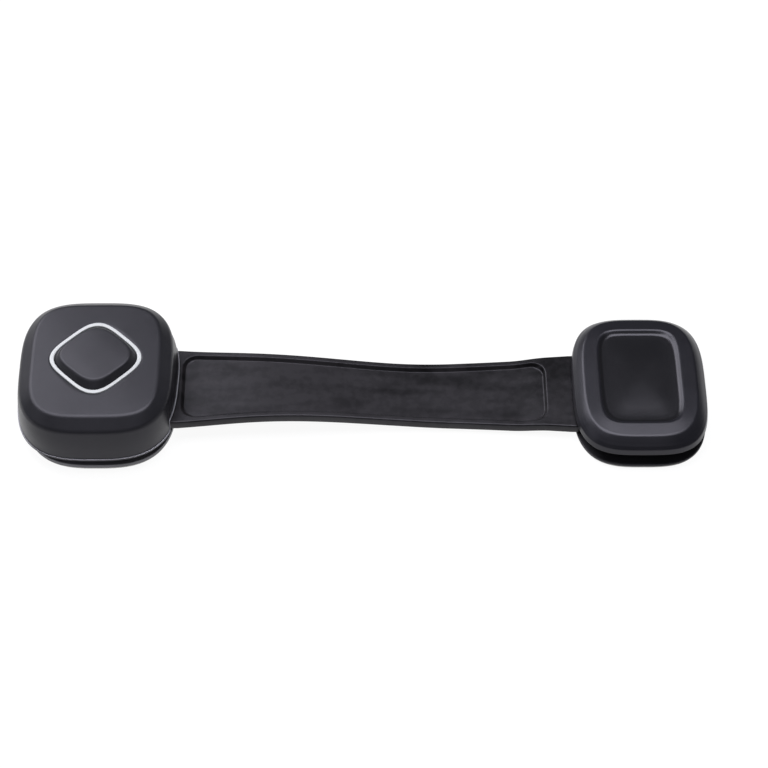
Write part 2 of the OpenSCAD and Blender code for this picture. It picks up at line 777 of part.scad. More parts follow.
// Section across the strap; the recess sinks between its own two ends
function in_recess(x) = min(x - recess_start_x, recess_end_x - x);
function strap_section(x) =
    let (
        w = strap_half(x),
        low = strap_z(x),
        top = low + strap_t,
        e = edge_r,
        inside = max(0, in_recess(x)),
        lip = flared(x) - recess_rim - corner_loss(inside, recess_corner),
        sunk = inside >= recess_lean,
        well = flared(x) - recess_rim - recess_lean
            - corner_loss(max(0, inside - recess_lean), recess_corner - recess_lean),
        p4 = in_recess(x) < 0 ? w * plain_share : lip,
        p5 = sunk ? well : p4 - recess_lean,
        bed = sunk ? top - recess_depth : top,
        half = [[w - e, low], [w, low + e], [w, top - e], [w - e, top], [p4, top], [p5, bed]]
    )
    concat(
        [for (p = half) [x, p.x, p.y]],
        [for (i = [len(half) - 1 : -1 : 0]) [x, -half[i].x, half[i].y]]
    );
// Stations along the strap, close together where it turns a corner
function spread(a, b, count) = [for (i = [0 : count - 1]) mix(a, b, i / count)];
function corner_run(a, b, count) = [for (i = [0 : count - 1]) mix(a, b, 1 - cos(90 * i / count))];
function corner_halt(a, b, count) = [for (i = [0 : count - 1]) mix(a, b, sin(90 * i / count))];
corner_count = 5;
long_count = 34;
strap_stations = concat(
    spread(strap_start_x, strap_start_x + 2 * edge_r, 3),
    spread(strap_start_x + 2 * edge_r, recess_start_x, 3),
    [recess_start_x],
    corner_run(recess_start_x + recess_lean, recess_start_x + recess_corner, corner_count),
    spread(recess_start_x + recess_corner, recess_end_x - recess_corner, long_count),
    corner_halt(recess_end_x - recess_corner, recess_end_x - recess_lean, corner_count),
    [recess_end_x - recess_lean, recess_end_x],
    spread(recess_end_x + edge_r, strap_end_x - end_corner, 5),
    corner_halt(strap_end_x - end_corner, strap_end_x, 2 * corner_count),
    [strap_end_x]
);

// Flexible strap: one moulding with a long recess, a pocket under each end and the hub's hole
module strap() {
    color(strap_black) difference() {
        loft([for (x = strap_stations) strap_section(x)]);
        // Pocket for the tongue's lap
        block([strap_start_x - cut, -lap_half - pivot_gap, tongue_z - cut],
            [strap_start_x + lap_l + pivot_gap, lap_half + pivot_gap, tongue_z + lap_t + pivot_gap]);
        both_sides() translate([lap_x, rivet_y, 0]) {
            translate([0, 0, tongue_z]) cylinder(h = strap_t, r = rivet_d / 2 + pivot_gap);
            translate([0, 0, tongue_z + strap_t - rivet_head_t])
                cylinder(h = rivet_head_t + cut, r = rivet_head_d / 2 + pivot_gap);
        }
        // Pocket for the swivel plate, hole for its hub and holes for the cap's screws
        at_anchor(strap_anchor_z - cut) linear_extrude(cut + swivel_t + pivot_gap)
            swivel_outline(pivot_gap);
        at_anchor(strap_anchor_z - cut) cylinder(h = strap_t + 2 * cut, r = hub_d / 2 + pivot_gap);
        at_anchor(strap_anchor_z - cut) at_corners(cap_screw_at, cap_screw_at)
            cylinder(h = strap_t + 2 * cut, r = screw_d / 2 + pivot_gap);
    }
}

module swivel_outline(grow) {
    corner = swivel_half / 3;
    side = swivel_half + grow;
    square([2 * (side - corner), 2 * side], center = true);
    square([2 * side, 2 * (side - corner)], center = true);
    at_corners(side - corner, side - corner) circle(r = corner);
}

module anchor_adhesive_pad() {
    color(foam_white) at_anchor()
        loft([anchor_plate_ring(foam_inset, 0), anchor_plate_ring(foam_inset, foam_t)]);
}

// Anchor plate with the post that the strap's end turns on
module anchor_base_plate() {
    soft = anchor_plate_t / 3;
    color(black) at_anchor() difference() {
        union() {
            loft([
                anchor_plate_ring(0, foam_t),
                anchor_plate_ring(0, anchor_plate_z - soft),
                anchor_plate_ring(soft / 4, anchor_plate_z - soft / 3),
                anchor_plate_ring(soft, anchor_plate_z)
            ]);
            translate([0, 0, foam_t + soft])
                cylinder(h = post_top_z - foam_t - soft, r = post_d / 2);
        }
        translate([0, 0, anchor_plate_z])
            cylinder(h = post_top_z, r = pivot_screw_d / 2 + pivot_gap);
    }
}

// Thin slippery ring between the two plates
slip_share = 0.75;
module slip_washer() {
    color(catch_white) at_anchor(anchor_plate_z) difference() {
        cylinder(h = slip_t, r = hub_d * slip_share);
        translate([0, 0, -cut]) cylinder(h = slip_t + 2 * cut, r = post_d / 2 + pivot_gap);
    }
}

// Plate let into the strap's underside, with the hub that turns on the post
module swivel_plate() {
    color(inner_black) at_anchor() difference() {
        union() {
            translate([0, 0, swivel_z]) linear_extrude(strap_anchor_z + swivel_t - swivel_z)
                swivel_outline(0);
            translate([0, 0, swivel_z]) cylinder(h = hub_top_z - swivel_z, r = hub_d / 2);
        }
        translate([0, 0, swivel_z - cut])
            cylinder(h = hub_top_z + cut, r = post_d / 2 + pivot_gap);
        translate([0, 0, swivel_z]) at_corners(cap_screw_at, cap_screw_at)
            countersink(screw_d / 2 + pivot_gap, screw_head_d / 2 + pivot_gap, screw_head_h,
                swivel_t + cut);
    }
}

// Soft square cap with an upright band, a sloped shoulder, a crowned top and a shallow dish
cap_slope_share = 0.6;
dish_slope_share = 0.6;
module anchor_cap() {
    band_z = cap_rim_z + cap_band_h;
    edge_z = cap_h - cap_crown;
    slope_in = (cap_band_in + cap_top_in) / 2;
    slope_z = mix(band_z, edge_z, cap_slope_share);
    inner_z = cap_ceiling_z - edge_r;
    color(black) difference() {
        union() {
            at_anchor() loft([
                cap_ring(cap_top_in + cap_wall, cap_ceiling_z),
                cap_ring(cap_top_in + cap_wall / 2, inner_z),
                cap_ring(cap_wall, band_z - edge_r),
                cap_ring(cap_wall, cap_rim_z),
                cap_ring(edge_r / 2, cap_rim_z),
                cap_ring(0, cap_rim_z + edge_r / 2),
                cap_ring(cap_band_in - edge_r / 4, band_z - edge_r / 4),
                cap_ring(cap_band_in + edge_r / 4, band_z + edge_r / 4),
                cap_ring(slope_in, slope_z),
                cap_ring(cap_top_in - edge_r / 2, edge_z - edge_r / 2),
                cap_ring(cap_top_in + edge_r / 2, edge_z),
                dish_ring(dish_in, cap_h),
                dish_ring(dish_in + dish_lean / 2, cap_h - dish_depth * dish_slope_share),
                dish_ring(dish_in + dish_lean, cap_h - dish_depth)
            ]);
            at_anchor(strap_anchor_top_z) at_corners(cap_screw_at, cap_screw_at)
                cylinder(h = cap_ceiling_z - strap_anchor_top_z + cap_wall / 2, r = boss_d / 2);
        }
        at_anchor(strap_anchor_top_z - cut) at_corners(cap_screw_at, cap_screw_at)
            cylinder(h = cap_ceiling_z - strap_anchor_top_z + cut, r = screw_d / 2 + pivot_gap);
    }
}

// Four screws from under the swivel plate, through the strap into the cap
module cap_screws() {
    color(steel) at_anchor(swivel_z) at_corners(cap_screw_at, cap_screw_at)
        countersunk(screw_d / 2, screw_head_d / 2, screw_head_h,
            cap_ceiling_z - swivel_z - screw_d / 4);
}

// Steel washer on the post, over the hub
module pivot_washer() {
    color(steel) at_anchor(post_top_z) difference() {
        cylinder(h = pivot_washer_t, r = hub_d / 2 - edge_r);
        translate([0, 0, -cut])
            cylinder(h = pivot_washer_t + 2 * cut, r = pivot_screw_d / 2 + pivot_gap);
    }
}

// Pan-head screw down the middle of the post, with a cross recess
slot_share = 0.8;
module pivot_screw() {
    slot_w = pivot_head_h * slot_share;
    color(steel) at_anchor() difference() {
        union() {
            translate([0, 0, pivot_head_z]) cylinder(h = pivot_head_h, r = pivot_head_d / 2);
            translate([0, 0, anchor_plate_z + pivot_gap])
                cylinder(h = pivot_head_z - anchor_plate_z, r = pivot_screw_d / 2);
        }
        translate([0, 0, pivot_head_z + pivot_head_h / 2]) for (turn = [0, 90]) rotate(turn)
            translate([-pivot_head_d / 4, -slot_w / 2, 0]) cube([pivot_head_d / 2, slot_w, pivot_head_h]);
    }
}

latch_adhesive_pad();
latch_base_plate();
latch_chassis();
latch_housing();
button_ring();
release_button();
button_spring();
catch_clip();
catch_screws();
housing_screws();
strap_tongue();
tongue_rivets();
strap();
anchor_adhesive_pad();
anchor_base_plate();
slip_washer();
swivel_plate();
anchor_cap();
cap_screws();
pivot_washer();
pivot_screw();
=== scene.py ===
"""Looks of an adhesive strap lock: the latch, its button, the strap, the anchor and the stage."""
import math

import bmesh
import bpy
import numpy as np
from bpy.props import FloatProperty, FloatVectorProperty, PointerProperty
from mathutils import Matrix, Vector


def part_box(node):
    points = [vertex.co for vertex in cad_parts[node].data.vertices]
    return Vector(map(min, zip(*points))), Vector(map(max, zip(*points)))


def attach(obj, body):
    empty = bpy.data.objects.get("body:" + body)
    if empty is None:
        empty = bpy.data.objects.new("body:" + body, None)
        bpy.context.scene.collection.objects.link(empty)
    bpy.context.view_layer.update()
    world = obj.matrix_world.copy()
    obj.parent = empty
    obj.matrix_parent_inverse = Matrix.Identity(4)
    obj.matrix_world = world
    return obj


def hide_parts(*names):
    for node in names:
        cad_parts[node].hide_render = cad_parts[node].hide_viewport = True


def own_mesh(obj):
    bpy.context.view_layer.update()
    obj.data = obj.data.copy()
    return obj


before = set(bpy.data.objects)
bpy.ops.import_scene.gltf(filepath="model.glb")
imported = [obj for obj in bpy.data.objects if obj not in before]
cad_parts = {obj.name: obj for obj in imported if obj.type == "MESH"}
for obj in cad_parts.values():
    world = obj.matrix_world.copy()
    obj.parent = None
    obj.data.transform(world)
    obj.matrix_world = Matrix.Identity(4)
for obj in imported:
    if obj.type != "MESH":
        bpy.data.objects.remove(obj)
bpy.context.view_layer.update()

bl_info = {
    "name": "Strap Lock",
    "version": (1, 0, 0),
    "blender": (4, 5, 0),
    "location": "3D View > Sidebar > Strap Lock",
    "description": "Builds the pieces, finishes and stage of an adhesive strap lock",
    "category": "Add Mesh",
}

MM = 0.001

# Where the packed model has its pieces
HOUSING_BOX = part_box("latch_housing")
STRAP_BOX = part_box("strap")
CAP_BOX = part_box("anchor_cap")
RING_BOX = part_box("button_ring")
BUTTON_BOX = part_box("release_button")
LATCH_PLATE_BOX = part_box("latch_base_plate")
ANCHOR_PLATE_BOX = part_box("anchor_base_plate")
LAP_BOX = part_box("tongue_rivets")
SWIVEL_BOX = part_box("swivel_plate")
SPRING_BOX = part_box("button_spring")
TONGUE_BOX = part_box("strap_tongue")

# Squareness of the outlines: 2 is an ellipse, larger is squarer
DIAMOND_SQUARENESS = 3.6
BUTTON_TOP_SQUARENESS = 3.1
# How much wider, and as much less deep, the button's top is than its foot
BUTTON_TOP_STRETCH = 0.025
CAP_SQUARENESS = 3.45
DISH_SQUARENESS = 5.2
RIM_SQUARENESS = 2.88
TOP_SQUARENESS = 3.96
LATCH_PLATE_SQUARENESS = 2.85
ANCHOR_PLATE_SQUARENESS = 3.15
# How much of the top's squareness the side wall's upper edge has
CREASE_BLEND = 0.3
# How much of the top's shift to the back that edge has
CREASE_SHIFT = 0.4
SWIVEL_SQUARENESS = 12
# Corner of the rounded diamond, as a share of its flat's distance
DIAMOND_REACH = 2 ** (0.5 - 1 / DIAMOND_SQUARENESS)
# Slack in holes that carry a pin or screw
FIT = 0.05 * MM


def middle(box, axis):
    return (box[0][axis] + box[1][axis]) / 2


def span(box, axis):
    return box[1][axis] - box[0][axis]


LATCH_X = middle(HOUSING_BOX, 0)
ANCHOR_X = middle(CAP_BOX, 0)
BUTTON_Y = middle(RING_BOX, 1)
GATE_X = HOUSING_BOX[1].x
CAP_EDGE_X = CAP_BOX[0].x


# Sizes and colours

def length(name, description, millimetres):
    return FloatProperty(name=name, description=description, default=millimetres * MM,
                         min=0.0, precision=5, unit="LENGTH")


def frame_length(name, description, metres):
    return length(name, description + ", from the packed model", metres / MM)


def tint(name, description, red, green, blue):
    return FloatVectorProperty(name=name, description=description, default=(red, green, blue),
                               min=0.0, max=1.0, size=3, subtype="COLOR")


class HousingSizes(bpy.types.PropertyGroup):
    """The latch's soft square shell"""

    width: frame_length("Width", "Along the strap", span(HOUSING_BOX, 0))
    depth: frame_length("Depth", "Across the strap", span(HOUSING_BOX, 1))
    top: length("Top", "Height of the top's middle", 20.0)
    crown: length("Crown", "How far the top's edge lies below its middle", 0.42)
    rim: length("Rim", "Height of the lower rim", 5.3)
    lip_rise: length("Lip height", "Height of the small lip round the rim", 0.5)
    lip_out: length("Lip width", "How far that lip stands out from the wall", 0.32)
    wall: length("Wall", "Thickness of the wall", 2.0)
    crease_in: length("Crease inset", "How far the wall's upper edge leans in", 1.4)
    crease_drop: length("Crease drop", "How far that edge lies below the top", 3.2)
    plateau_in: length("Plateau inset", "How far the top's edge lies inside the rim", 5.25)
    plateau_back: length("Plateau place", "How far the top sits towards the back", 0.65)
    lip_soft: length("Lip rounding", "Rounding of the small lip", 0.11)
    seat_soft: length("Seat rounding", "Rounding of the edge of the ring's seat", 0.12)
    crease_soft: length("Crease rounding", "Rounding of the wall's upper edge", 1.0)
    plateau_soft: length("Plateau rounding", "Rounding of the flat top's edge", 0.7)
    gate_rise: length("Gate rise", "How far the rim lifts over the strap", 2.7)
    gate_half: length("Gate half width", "Half the width of the gate", 15.2)
    gate_corner: length("Gate corner", "Width of the gate's soft corners", 1.7)
    gate_flare: length("Gate skew",
                       "How far its edge stands out at the back and in at the front", 0.65)


class ButtonSizes(bpy.types.PropertyGroup):
    """The diamond button and its trim ring"""

    ring_half: frame_length("Ring", "From the middle to a flat of the ring",
                            span(RING_BOX, 0) / 2 / DIAMOND_REACH)
    ring_top: frame_length("Ring top", "Height of the ring's top", RING_BOX[1].z)
    ring_foot: frame_length("Ring foot", "Height of the ring's seat", RING_BOX[0].z)
    ring_width: length("Ring width", "Width of the ring", 1.15)
    ring_soft: length("Ring rounding", "Rounding of the ring's edges", 0.32)
    gap: length("Gap", "Between the button and the ring", 0.15)
    top: frame_length("Button top", "Height of the button", BUTTON_BOX[1].z)
    lean: length("Skirt lean", "How far the sloped skirt leans in", 1.35)
    crown: length("Crown", "How far the top bulges", 0.3)
    edge_soft: length("Edge rounding", "Rounding of the top's edge", 0.65)
    foot_soft: length("Foot rounding", "Rounding at the foot of the skirt", 0.45)
    flange_lip: length("Flange", "How far the flange reaches past the opening", 1.3)
    flange_foot: length("Flange foot", "Height of the flange's underside", 16.5)
    flange_top: length("Flange top", "Height of the flange's upper side", 17.7)
    wedge_inner: length("Wedge inside", "From the middle line to the wedges' inner side", 4.7)
    wedge_tip: length("Wedge tip", "From the middle line to the outside of their tips", 7.276)
    wedge_wide: length("Wedge outside", "From the middle line to their outer side", 9.976)
    wedge_back: length("Wedge place", "From the button's middle back to their near end", 2.65)
    wedge_run: length("Wedge run", "Length of the wedges along the strap", 2.8)


class StrapSizes(bpy.types.PropertyGroup):
    """The flexible strap and its long recess"""

    thickness: length("Thickness", "Of the strap", 3.0)
    latch_half: length("Latch half width", "Half the width at the latch", 14.3)
    waist_half: length("Waist half width", "Half the width at the waist", 11.35)
    anchor_half: length("Anchor half width", "Half the width at the anchor", 14.1)
    latch_foot: frame_length("Foot at the latch", "Height of the underside there", TONGUE_BOX[0].z)
    high_foot: length("Highest foot", "Height of the underside at the hump", 5.4)
    low_foot: frame_length("Lowest foot", "Height of the underside at the dip", STRAP_BOX[0].z)
    anchor_foot: length("Foot at the anchor", "Height of the underside there", 1.9)
    edge_soft: length("Edge rounding", "Rounding of the outer edges", 0.5)
    recess_rim: length("Recess rim", "Width of the rim round the recess", 1.7)
    recess_depth: length("Recess depth", "Depth of the recess", 1.05)
    recess_wall: length("Recess wall", "Width of the recess's sloped wall", 0.9)
    recess_corner: length("Recess corner", "Corner radius of the recess", 5.0)
    recess_stop: length("Recess stop", "Plain stretch before the cap", 7.7)
    lap: length("Lap", "Depth of the pockets for the tongue's lap and the swivel plate", 1.2)
    rivet_half: length("Rivet radius", "Radius of the rivets' shanks", 1.25)
    rivet_head: length("Rivet head", "Depth of the seats of the rivets' heads", 0.6)


class CapSizes(bpy.types.PropertyGroup):
    """The anchor's cap with its shallow dish"""

    width: frame_length("Width", "Along the strap", span(CAP_BOX, 0))
    depth: frame_length("Depth", "Across the strap", span(CAP_BOX, 1))
    top: frame_length("Top", "Height of the flat top", CAP_BOX[1].z)
    rim: length("Rim", "Height of the lower rim", 6.0)
    wall: length("Wall", "Thickness of the wall", 1.6)
    band: length("Band", "Height of the upright band", 2.0)
    band_in: length("Band lean", "How far the band's upper edge lies inside the rim", 0.3)
    plateau_in: length("Plateau inset", "How far the top's edge lies inside the rim", 3.25)
    plateau_back: length("Plateau place", "How far the top sits towards the back", 0.4)
    crown: length("Crown", "How far that edge lies below the edge of the dish", 0.42)
    dish_in: length("Dish inset", "How far the dish's edge lies inside the rim", 7.8)
    dish_back: length("Dish place", "How far the dish sits towards the back", 0.8)
    boss_foot: length("Boss foot", "Height of the lower end of the screws' bosses", 4.92)
    dish_crown: length("Dish crown", "How far the dish's bed rises in its middle", 0.5)
    dish_wall: length("Dish wall", "Width of the slope into the dish", 1.3)
    dish_depth: length("Dish depth", "Depth of the dish at its wall", 0.8)
    roof: length("Roof", "From the flat top down to the ceiling inside", 2.15)


class BaseSizes(bpy.types.PropertyGroup):
    """The two base plates, the anchor's post and the screws' holes"""

    plate_soft: length("Plate rounding", "Rounding of the plates' upper edges", 0.3)
    foot_soft: length("Foot rounding", "Rounding of the lower edges of plates and foam", 0.1)
    anchor_top: length("Anchor plate top", "Height of the anchor plate's upper side", 1.6)
    post_half: length("Post radius", "Radius of the anchor's post", 4.0)
    pivot_half: length("Pivot hole radius", "Radius of the screw's hole in the post", 1.55)
    screw_half: length("Screw radius", "Radius of the screws' shanks", 1.2)
    head_half: length("Screw head radius", "Radius of the screws' heads", 2.2)
    head_rise: length("Screw head height", "Height of the countersunk heads", 1.0)
    boss_half: length("Boss radius", "Radius of the bosses that hold the screws", 2.52)
    bore_top: length("Bore top", "Height of the end of the housing's screw holes", 10.1)
    hub_half: length("Hub radius", "Radius of the hub that turns on the post", 7.0)


class LockColours(bpy.types.PropertyGroup):
    """Colours of the finishes"""

    housing: tint("Housing", "Satin black of the latch's housing", 0.0120, 0.0120, 0.0148)
    button: tint("Button", "Soft black of the button", 0.0150, 0.0150, 0.0178)
    ring: tint("Ring", "Light grey of the trim ring", 0.54, 0.552, 0.558)
    strap: tint("Strap", "Black of the flexible strap", 0.0064, 0.0060, 0.0067)
    cap: tint("Cap", "Satin black of the anchor's cap", 0.0085, 0.0085, 0.0115)
    dish: tint("Dish", "Polished black of the cap's dish", 0.0060, 0.0060, 0.0072)
    # Far lighter than the housing: a painted highlight on the lip's glossy edge
    edge: tint("Rim edge highlight", "Polished edge of the housing's lip", 0.2200, 0.2200, 0.2400)
    plate: tint("Latch plate", "Dark grey of the latch's plate and chassis", 0.1100, 0.1085, 0.1180)
    base: tint("Base", "Black of the anchor's plate and hub", 0.0260, 0.0255, 0.0285)
    foam: tint("Foam", "White of the adhesive foam", 0.60, 0.60, 0.58)
    acetal: tint("Acetal", "Natural white of the tongue and catch", 0.42, 0.41, 0.37)
    steel: tint("Steel", "Zinc-plated steel", 0.20, 0.205, 0.213)
    floor: tint("Floor", "White of the studio floor, which glows too", 0.10, 0.10, 0.10)


class StageSettings(bpy.types.PropertyGroup):
    """The camera and the lights"""

    elevation: FloatProperty(name="Elevation", description="Camera above the floor",
                             default=math.radians(51.0), subtype="ANGLE")
    azimuth: FloatProperty(name="Azimuth", description="Camera round the lock",
                           default=math.radians(-0.2474), subtype="ANGLE")
    distance: FloatProperty(name="Distance", description="From the camera to the lock",
                            default=0.796667, unit="LENGTH")
    lens: FloatProperty(name="Lens", description="Focal length in millimetres", default=121.45)
    shift_x: FloatProperty(name="Shift X", description="Sideways framing", default=0.02827)
    shift_y: FloatProperty(name="Shift Y", description="Upright framing", default=0.02263)
    room: FloatProperty(name="Room", description="Brightness of the studio's walls", default=0.13)


GROUPS = {
    "lock_housing": HousingSizes,
    "lock_button": ButtonSizes,
    "lock_strap": StrapSizes,
    "lock_cap": CapSizes,
    "lock_base": BaseSizes,
    "lock_colours": LockColours,
    "lock_stage": StageSettings,
}


# Outlines, profiles and meshes

OUTLINE_POINTS = 288
GATE_POINTS = 36
ROUNDING_STEPS = 7
# Distance from a curve to the point that supports it
SUPPORT = 0.1 * MM
SHARP_ANGLE = math.radians(38)
# Longest step between the rings of the housing and the cap
RING_STEP = 1.2 * MM
# The side wall's fullest place, as shares of the crease's inset and height
BULGE_IN = 0.45
BULGE_RISE = 0.6
BULGE_SOFT = 3 * MM
EVEN_ANGLES = np.linspace(0, 2 * math.pi, OUTLINE_POINTS, endpoint=False)


def soft_square(half_width, half_depth, squareness, angles=EVEN_ANGLES, turn=0.0):
    """Points of a soft square outline round the origin."""
    across = (np.abs(np.cos(angles - turn)) / half_width) ** squareness
    along = (np.abs(np.sin(angles - turn)) / half_depth) ** squareness
    reach = (across + along) ** (-1 / squareness)
    return np.column_stack((reach * np.cos(angles), reach * np.sin(angles)))


def diamond(half, angles=EVEN_ANGLES):
    return soft_square(half, half, DIAMOND_SQUARENESS, angles, math.pi / 4)


def circle(radius, angles=EVEN_ANGLES):
    return soft_square(radius, radius, 2, angles)


def at_height(points, z, x=0.0, y=0.0):
    """Outline points, moved to x and y, at one height or at a height each."""
    heights = np.broadcast_to(z, len(points))
    return np.column_stack((points[:, 0] + x, points[:, 1] + y, heights))


def rounded(*corners, longest=None):
    """Profile through (inset, height, rounding) corners, with a support point beside each curve."""
    points = []
    for i, (inset, z, soft) in enumerate(corners):
        here = np.array((inset, z))
        if soft == 0:
            points.append(here)
            continue
        back = np.array(corners[i - 1][:2]) - here
        ahead = np.array(corners[i + 1][:2]) - here
        back /= np.linalg.norm(back)
        ahead /= np.linalg.norm(ahead)
        start, finish = here + back * soft, here + ahead * soft
        points.append(start + back * SUPPORT)
        for t in np.linspace(0, 1, ROUNDING_STEPS):
            points.append((1 - t) ** 2 * start + 2 * t * (1 - t) * here + t * t * finish)
        points.append(finish + ahead * SUPPORT)
    if longest is None:
        return points
    filled = [points[0]]
    for before, after in zip(points, points[1:]):
        parts = max(1, math.ceil(np.linalg.norm(after - before) / longest))
        filled += [before + (after - before) * k / parts for k in range(1, parts + 1)]
    return filled


class Shape:
    """Points and faces of one mesh."""

    def __init__(self):
        self.points = []
        self.faces = []
        self.trim = []
        self.count = 0

    def rings(self, rings, looped=False, capped=True):
        """Quads between rings of points; a solid has caps unless it is looped."""
        size, first = len(rings[0]), self.count
        for ring in rings:
            self.points.append(np.asarray(ring, float))
            self.count += size
        steps = len(rings) if looped else len(rings) - 1
        for j in range(steps):
            low = first + j * size
            high = first + (j + 1) % len(rings) * size
            self.faces += [(low + i, low + (i + 1) % size, high + (i + 1) % size, high + i)
                           for i in range(size)]
        if capped and not looped:
            self.faces.append(tuple(range(first + size - 1, first - 1, -1)))
            top = first + (len(rings) - 1) * size
            self.faces.append(tuple(range(top, top + size)))
        return self

    def lathe(self, profile, x, y, count=48):
        """Turned solid about an upright axis from (radius, height) points."""
        angles = np.linspace(0, 2 * math.pi, count, endpoint=False)
        return self.rings([at_height(circle(r, angles), z, x, y) for r, z in profile])

    def build(self, name):
        mesh = bpy.data.meshes.new(name)
        mesh.from_pydata(np.vstack(self.points).tolist(), [], self.faces)
        form = bmesh.new()
        form.from_mesh(mesh)
        bmesh.ops.recalc_face_normals(form, faces=form.faces)
        form.to_mesh(mesh)
        form.free()
        soften(mesh)
        for face in self.trim:
            mesh.polygons[face].material_index = 1
        piece = bpy.data.objects.new(name, mesh)
        bpy.context.collection.objects.link(piece)
        return piece


def soften(mesh):
    mesh.polygons.foreach_set("use_smooth", [True] * len(mesh.polygons))
    mesh.set_sharp_from_angle(angle=SHARP_ANGLE)
    mesh.update()


def cut_away(piece, cutters):
    """Takes the cutters out of a piece, and the cutters away."""
    for cutter in cutters:
        cut = piece.modifiers.new("Cut", "BOOLEAN")
        cut.operation = "DIFFERENCE"
        cut.solver = "EXACT"
        cut.object = cutter
    bpy.context.view_layer.update()
    graph = bpy.context.evaluated_depsgraph_get()
    mesh = bpy.data.meshes.new_from_object(piece.evaluated_get(graph))
    piece.modifiers.clear()
    piece.data = mesh
    soften(mesh)
    for cutter in cutters:
        bpy.data.objects.remove(cutter)


def middle_fill(ring, centre, rise=0.0, shares=(0.8, 0.55, 0.3, 0.1)):
    """Rings that close in on a point and rise towards it, so that a face shades evenly."""
    centre = np.array(centre)
    lift = np.array((0, 0, rise))
    return [centre + (ring - centre) * share + lift * (1 - share ** 2) for share in shares]


def deliver(piece, body, finish, slot, *nodes):
    """Gives a piece its finish if it has none, puts it on its body and hides the nodes that it
    stands for.
    """
    if not piece.data.materials:
        piece.data.materials.append(finish)
    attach(piece, body)
    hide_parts(*nodes)


# Finishes

class Value:
    """A number socket; sums and products of values add their Math nodes."""

    def __init__(self, finish, socket):
        self.finish = finish
        self.socket = socket

    def maths(self, operation, *others):
        return self.finish.node("ShaderNodeMath", {"operation": operation}, (self,) + others)

    def turned(self, operation, other):
        return self.finish.node("ShaderNodeMath", {"operation": operation}, (other, self))

    def __add__(self, other):
        return self.maths("ADD", other)

    def __sub__(self, other):
        return self.maths("SUBTRACT", other)

    def __mul__(self, other):
        return self.maths("MULTIPLY", other)

    def __rsub__(self, other):
        return self.turned("SUBTRACT", other)

    __radd__ = __add__
    __rmul__ = __mul__

    def between(self, low, high):
        """0 below low, 1 above high, and smooth in between."""
        settings = {"interpolation_type": "SMOOTHSTEP"}
        return self.finish.node("ShaderNodeMapRange", settings,
                                {"Value": self, "From Min": low, "From Max": high})


class Finish:
    """One material and the nodes that make it."""

    def __init__(self, name):
        self.material = bpy.data.materials.new(name)
        self.material.use_nodes = True
        self.tree = self.material.node_tree
        self.shader = self.tree.nodes["Principled BSDF"]
        self.place = self.node("ShaderNodeTexCoord", output="Object")

    def node(self, kind, settings=None, sockets=None, output=0):
        """Adds a node: its settings first, then the values or links of its sockets."""
        made = self.tree.nodes.new(kind)
        for key, setting in (settings or {}).items():
            setattr(made, key, setting)
        if isinstance(sockets, tuple):
            sockets = dict(enumerate(sockets))
        for key, value in (sockets or {}).items():
            self.feed(made.inputs[key], value)
        return Value(self, made.outputs[output])

    def feed(self, socket, value):
        if isinstance(value, Value):
            self.tree.links.new(value.socket, socket)
        elif socket.type == "RGBA" and len(value) == 3:
            socket.default_value = (*value, 1.0)
        else:
            socket.default_value = value

    def set(self, **sockets):
        """Feeds the shader's sockets, with underscores for their spaces."""
        for name, value in sockets.items():
            self.feed(self.shader.inputs[name.replace("_", " ")], value)
        return self.material

    def stretched(self, x, y, z):
        """The object's own coordinates, scaled along each axis."""
        settings = {"operation": "MULTIPLY"}
        return self.node("ShaderNodeVectorMath", settings, (self.place, (x, y, z)))

    def along(self, axis):
        return self.node("ShaderNodeSeparateXYZ", None, (self.place,), output=axis)

    def noise(self, scale, detail=2.0, roughness=0.5, place=None):
        return self.node("ShaderNodeTexNoise", {"noise_dimensions": "3D"},
                         {"Vector": place or self.place, "Scale": scale, "Detail": detail,
                          "Roughness": roughness})

    def mix(self, share, low, high):
        """A colour between two colours."""
        settings = {"data_type": "RGBA", "blend_type": "MIX"}
        return self.node("ShaderNodeMix", settings, {0: share, 6: low, 7: high}, output=2)

    def toned(self, share, colour, low, high):
        """A colour between a darker and a lighter shade of it."""
        return self.mix(share, shade(colour, low), shade(colour, high))

    def bump(self, height, strength, distance):
        return self.node("ShaderNodeBump", None,
                         {"Strength": strength, "Distance": distance, "Height": height})


def shade(colour, share):
    """A colour made darker or lighter by a share."""
    return tuple(min(1.0, channel * share) for channel in colour)


# How strongly the moulded plastics reflect; 0.5 is common plastic
PLASTIC_GLOSS = 0.35
CAP_GLOSS = 0.41
STRAP_GLOSS = 0.26
# Faint violet of their reflections
GLOSS_TINT = (0.92, 0.90, 1.0, 1.0)
# Scales of the moulded plastics' grain and clouds
GRAIN = 5200
CLOUDS = 95
# Where the strap's colour is painted lighter as a sheen, and how far from there that painted sheen
# fades
SHEEN_X = -19 * MM
SHEEN_REACH = 30 * MM


def moulded_plastic(name, colour, roughness, grain=1.0, gloss=PLASTIC_GLOSS):
    """Satin moulded plastic: spark-worn grain, faint clouds and a slight wear of the gloss."""
    finish = Finish(name)
    grains = finish.noise(GRAIN)
    clouds = finish.noise(CLOUDS, 3.0, 0.6)
    rubbed_and_sheen = finish.noise(420, 3.0, 0.55)
    return finish.set(
        Base_Color=finish.toned(clouds.between(0.3, 0.7), colour, 0.88, 1.12),
        Roughness=roughness + (rubbed_and_sheen - 0.5) * 0.10 + (grains - 0.5) * 0.08,
        Specular_IOR_Level=gloss,
        Specular_Tint=GLOSS_TINT,
        Normal=finish.bump(grains, 0.35 * grain, 0.035 * MM),
    )


